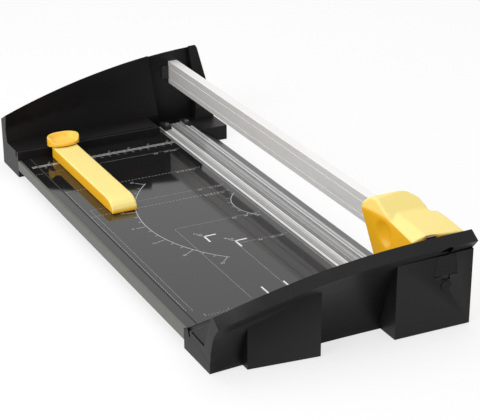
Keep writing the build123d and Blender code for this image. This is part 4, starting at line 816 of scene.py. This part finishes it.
# %% Corner marks
for corner in ((-33.0, -58.5), (-8.5, -83.0)):
    band([(corner[0] - 1, corner[1]), (corner[0] + 13.5, corner[1])], 2.0, BOLD_PRINT)
    band([(corner[0], corner[1]), (corner[0], corner[1] - 15.0)], 2.0, BOLD_PRINT)
    band([(corner[0] - 0.5, corner[1] + 0.5), (corner[0] - 5, corner[1] + 6)], 0.8)
for x, high, low in ((-33.5, -190.0, -206.0), (-8.0, -188.5, -206.0)):
    band([(x, high), (x, low)], 1.9, BOLD_PRINT)
print("with corner marks:", len(INK))

# %% [markdown]
# Numbers. Sheet sizes and plain numbers label the format lines, the angles and the far ruler. A text
# object is made a mesh before its place is applied.


# %% Numbers on the board
def number(words, x, y, size, turned=0.0, ink=PRINT):
    text = bpy.data.curves.new("number", "FONT")
    text.body = words
    text.size = size * MM
    text.align_x = "CENTER"
    text.align_y = "CENTER"
    text.resolution_u = 2
    holder = bpy.data.objects.new("number", text)
    bpy.context.scene.collection.objects.link(holder)
    bpy.context.view_layer.update()
    graph = bpy.context.evaluated_depsgraph_get()
    mesh = bpy.data.meshes.new_from_object(holder.evaluated_get(graph))
    bpy.data.objects.remove(holder)
    turn_by = Matrix.Rotation(math.radians(turned), 4, "Z")
    mesh.transform(Matrix.Translation((x * MM, y * MM, PRINT_Z)) @ turn_by)
    mesh.materials.clear()
    mesh.materials.append(ink)
    INK.append((mesh, ink))


METRIC_SHEETS = ((420.0, 297.0, "A3"), (297.0, 210.0, "A4"), (210.0, 148.0, "A5"), (148.0, 105.0, "A6"))
for length, width, words in METRIC_SHEETS:
    number(words, 16.5, NEAR_EDGE + length - 2.6, 4.6)
    number(f"{width:.0f} x {length:.0f}", 35.5, NEAR_EDGE + length - 2.6, 3.9)
for length, width in ((355.6, "8 1/2"), (279.4, "8 1/2")):
    number(f"{width} x {length / INCH:.0f} in", 26.5, NEAR_EDGE + length - 2.8, 4.6)
for angle in range(-45, 46, 15):
    x, y = on_arc(BIG_CENTRE, BIG_RADIUS + 15.5, angle)
    number(str(abs(angle)), x, y, 5.0)
for index in range(1, inches + 1):
    number(str(index), CUT - index * INCH + 2.2, 212.4, 3.6)
for index in range(5, centimetres):
    number(str(index), CUT - index * CENTIMETRE, 197.4, 2.9)
for corner, words in (((-37.0, -50.5), "9 x 13"), ((-12.5, -75.0), "10 x 15")):
    number(words, corner[0], corner[1], 3.6, -35.0, BOLD_PRINT)
number("0", 41.0, -33.0, 4.0)
print("with numbers:", len(INK))

# %% [markdown]
# Two inks. The many small meshes become one flat piece for each ink, because a piece for every tick
# would make the board slow to export. Flat marks have no inside, so all of them are turned to look up.


# %% Join the print
def joined(name, pieces):
    """One flat piece from many meshes of the same ink."""
    shape = bmesh.new()
    for mesh in pieces:
        shape.from_mesh(mesh)
    bmesh.ops.recalc_face_normals(shape, faces=shape.faces)
    for face in shape.faces:
        face.material_index = 0
        if face.normal.z < 0:
            face.normal_flip()
    mesh = bpy.data.meshes.new(name)
    shape.to_mesh(mesh)
    shape.free()
    piece = bpy.data.objects.new(name, mesh)
    bpy.context.scene.collection.objects.link(piece)
    return piece


for name, ink in (("board_fine_print", PRINT), ("board_bold_print", BOLD_PRINT)):
    piece = joined(name, [mesh for mesh, paint in INK if paint is ink])
    piece.data.materials.append(ink)
    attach(piece, "base")
    print(name, "faces", len(piece.data.polygons))

# %% [markdown]
# Floor. The machine stands on a plain pale floor. To the camera, to mirrors and through clear pieces
# most of it is plain white, and the rest of it keeps the shadow that the machine stands in.

# %% Floor
FLOOR_HALF = 30.0
FLOOR_WHITE = 0.72        # how much of the floor is plain white to the camera; the rest keeps the shadow


def seen_by_camera(finish):
    """1 where the camera, a mirror or a clear piece looks, and 0 for the light itself."""
    rays = ("Is Camera Ray", "Is Glossy Ray", "Is Transmission Ray")
    camera_ray, glossy_ray, clear_ray = (finish.node("ShaderNodeLightPath", out=ray) for ray in rays)
    return (camera_ray + glossy_ray + clear_ray).clipped()


floor_mesh = bpy.data.meshes.new("floor")
corners = [(x * FLOOR_HALF, y * FLOOR_HALF, 0) for x, y in ((-1, -1), (1, -1), (1, 1), (-1, 1))]
floor_mesh.from_pydata(corners, [], [(0, 1, 2, 3)])
floor = bpy.data.objects.new("floor", floor_mesh)
bpy.context.scene.collection.objects.link(floor)
floor_finish = Finish("pale_floor")
matt = floor_finish.node("ShaderNodeBsdfDiffuse", None, (0.93, 0.93, 0.93, 1.0))
white = floor_finish.node("ShaderNodeEmission", None, (1.0, 1.0, 1.0, 1.0), 1.0)
share = seen_by_camera(floor_finish) * FLOOR_WHITE
floor_finish.close(floor_finish.node("ShaderNodeMixShader", None, share, matt, white))
floor_mesh.materials.append(floor_finish.material)
print("floor:", 2 * FLOOR_HALF, "m wide, white share", FLOOR_WHITE)

# %% [markdown]
# World. It lights the machine dimly from all round, and shows plain white to the camera, to mirrors
# and through clear pieces. The material helper does this too, once it is given the world's tree.

# %% World
WORLD_LIGHT = 0.55
WORLD_SHOWN = 1.0


class Surroundings(Finish):
    """The world and the nodes in it."""

    def __init__(self, name):
        self.world = bpy.data.worlds.new(name)
        self.world.use_nodes = True
        self.tree = self.world.node_tree
        self.tree.nodes.clear()
        self.output = self.tree.nodes.new("ShaderNodeOutputWorld")


studio = Surroundings("studio")
WHITE = (1.0, 1.0, 1.0, 1.0)
dim = studio.node("ShaderNodeBackground", None, Color=WHITE, Strength=WORLD_LIGHT)
shown = studio.node("ShaderNodeBackground", None, Color=WHITE, Strength=WORLD_SHOWN)
studio.close(studio.node("ShaderNodeMixShader", None, seen_by_camera(studio), dim, shown))
bpy.context.scene.world = studio.world
print("world nodes:", len(studio.tree.nodes))

# %% [markdown]
# Lamps. A broad lamp overhead has soft shadows, and a second one from the left lights the sides that
# the first one leaves dark. Each is turned so that its own -Z looks at its target.


# %% Lamps
def lamp(name, at, target, size, power):
    data = bpy.data.lights.new(name, "AREA")
    data.shape = "RECTANGLE"
    data.size, data.size_y = size
    data.energy = power
    holder = bpy.data.objects.new(name, data)
    direction = Vector(target) - Vector(at)
    aim = direction.to_track_quat("-Z", "Y").to_matrix().to_4x4()
    holder.matrix_world = Matrix.Translation(at) @ aim
    bpy.context.scene.collection.objects.link(holder)
    print("lamp:", name, power, "W")


lamp("overhead", (0.1, 0.25, 1.7), (0.0, 0.0, 0.0), (1.6, 1.8), 14.0)
lamp("left_fill", (-1.7, -0.6, 0.9), (0.0, 0.0, 0.05), (1.2, 1.2), 21.0)
bpy.context.scene.view_settings.view_transform = "Standard"
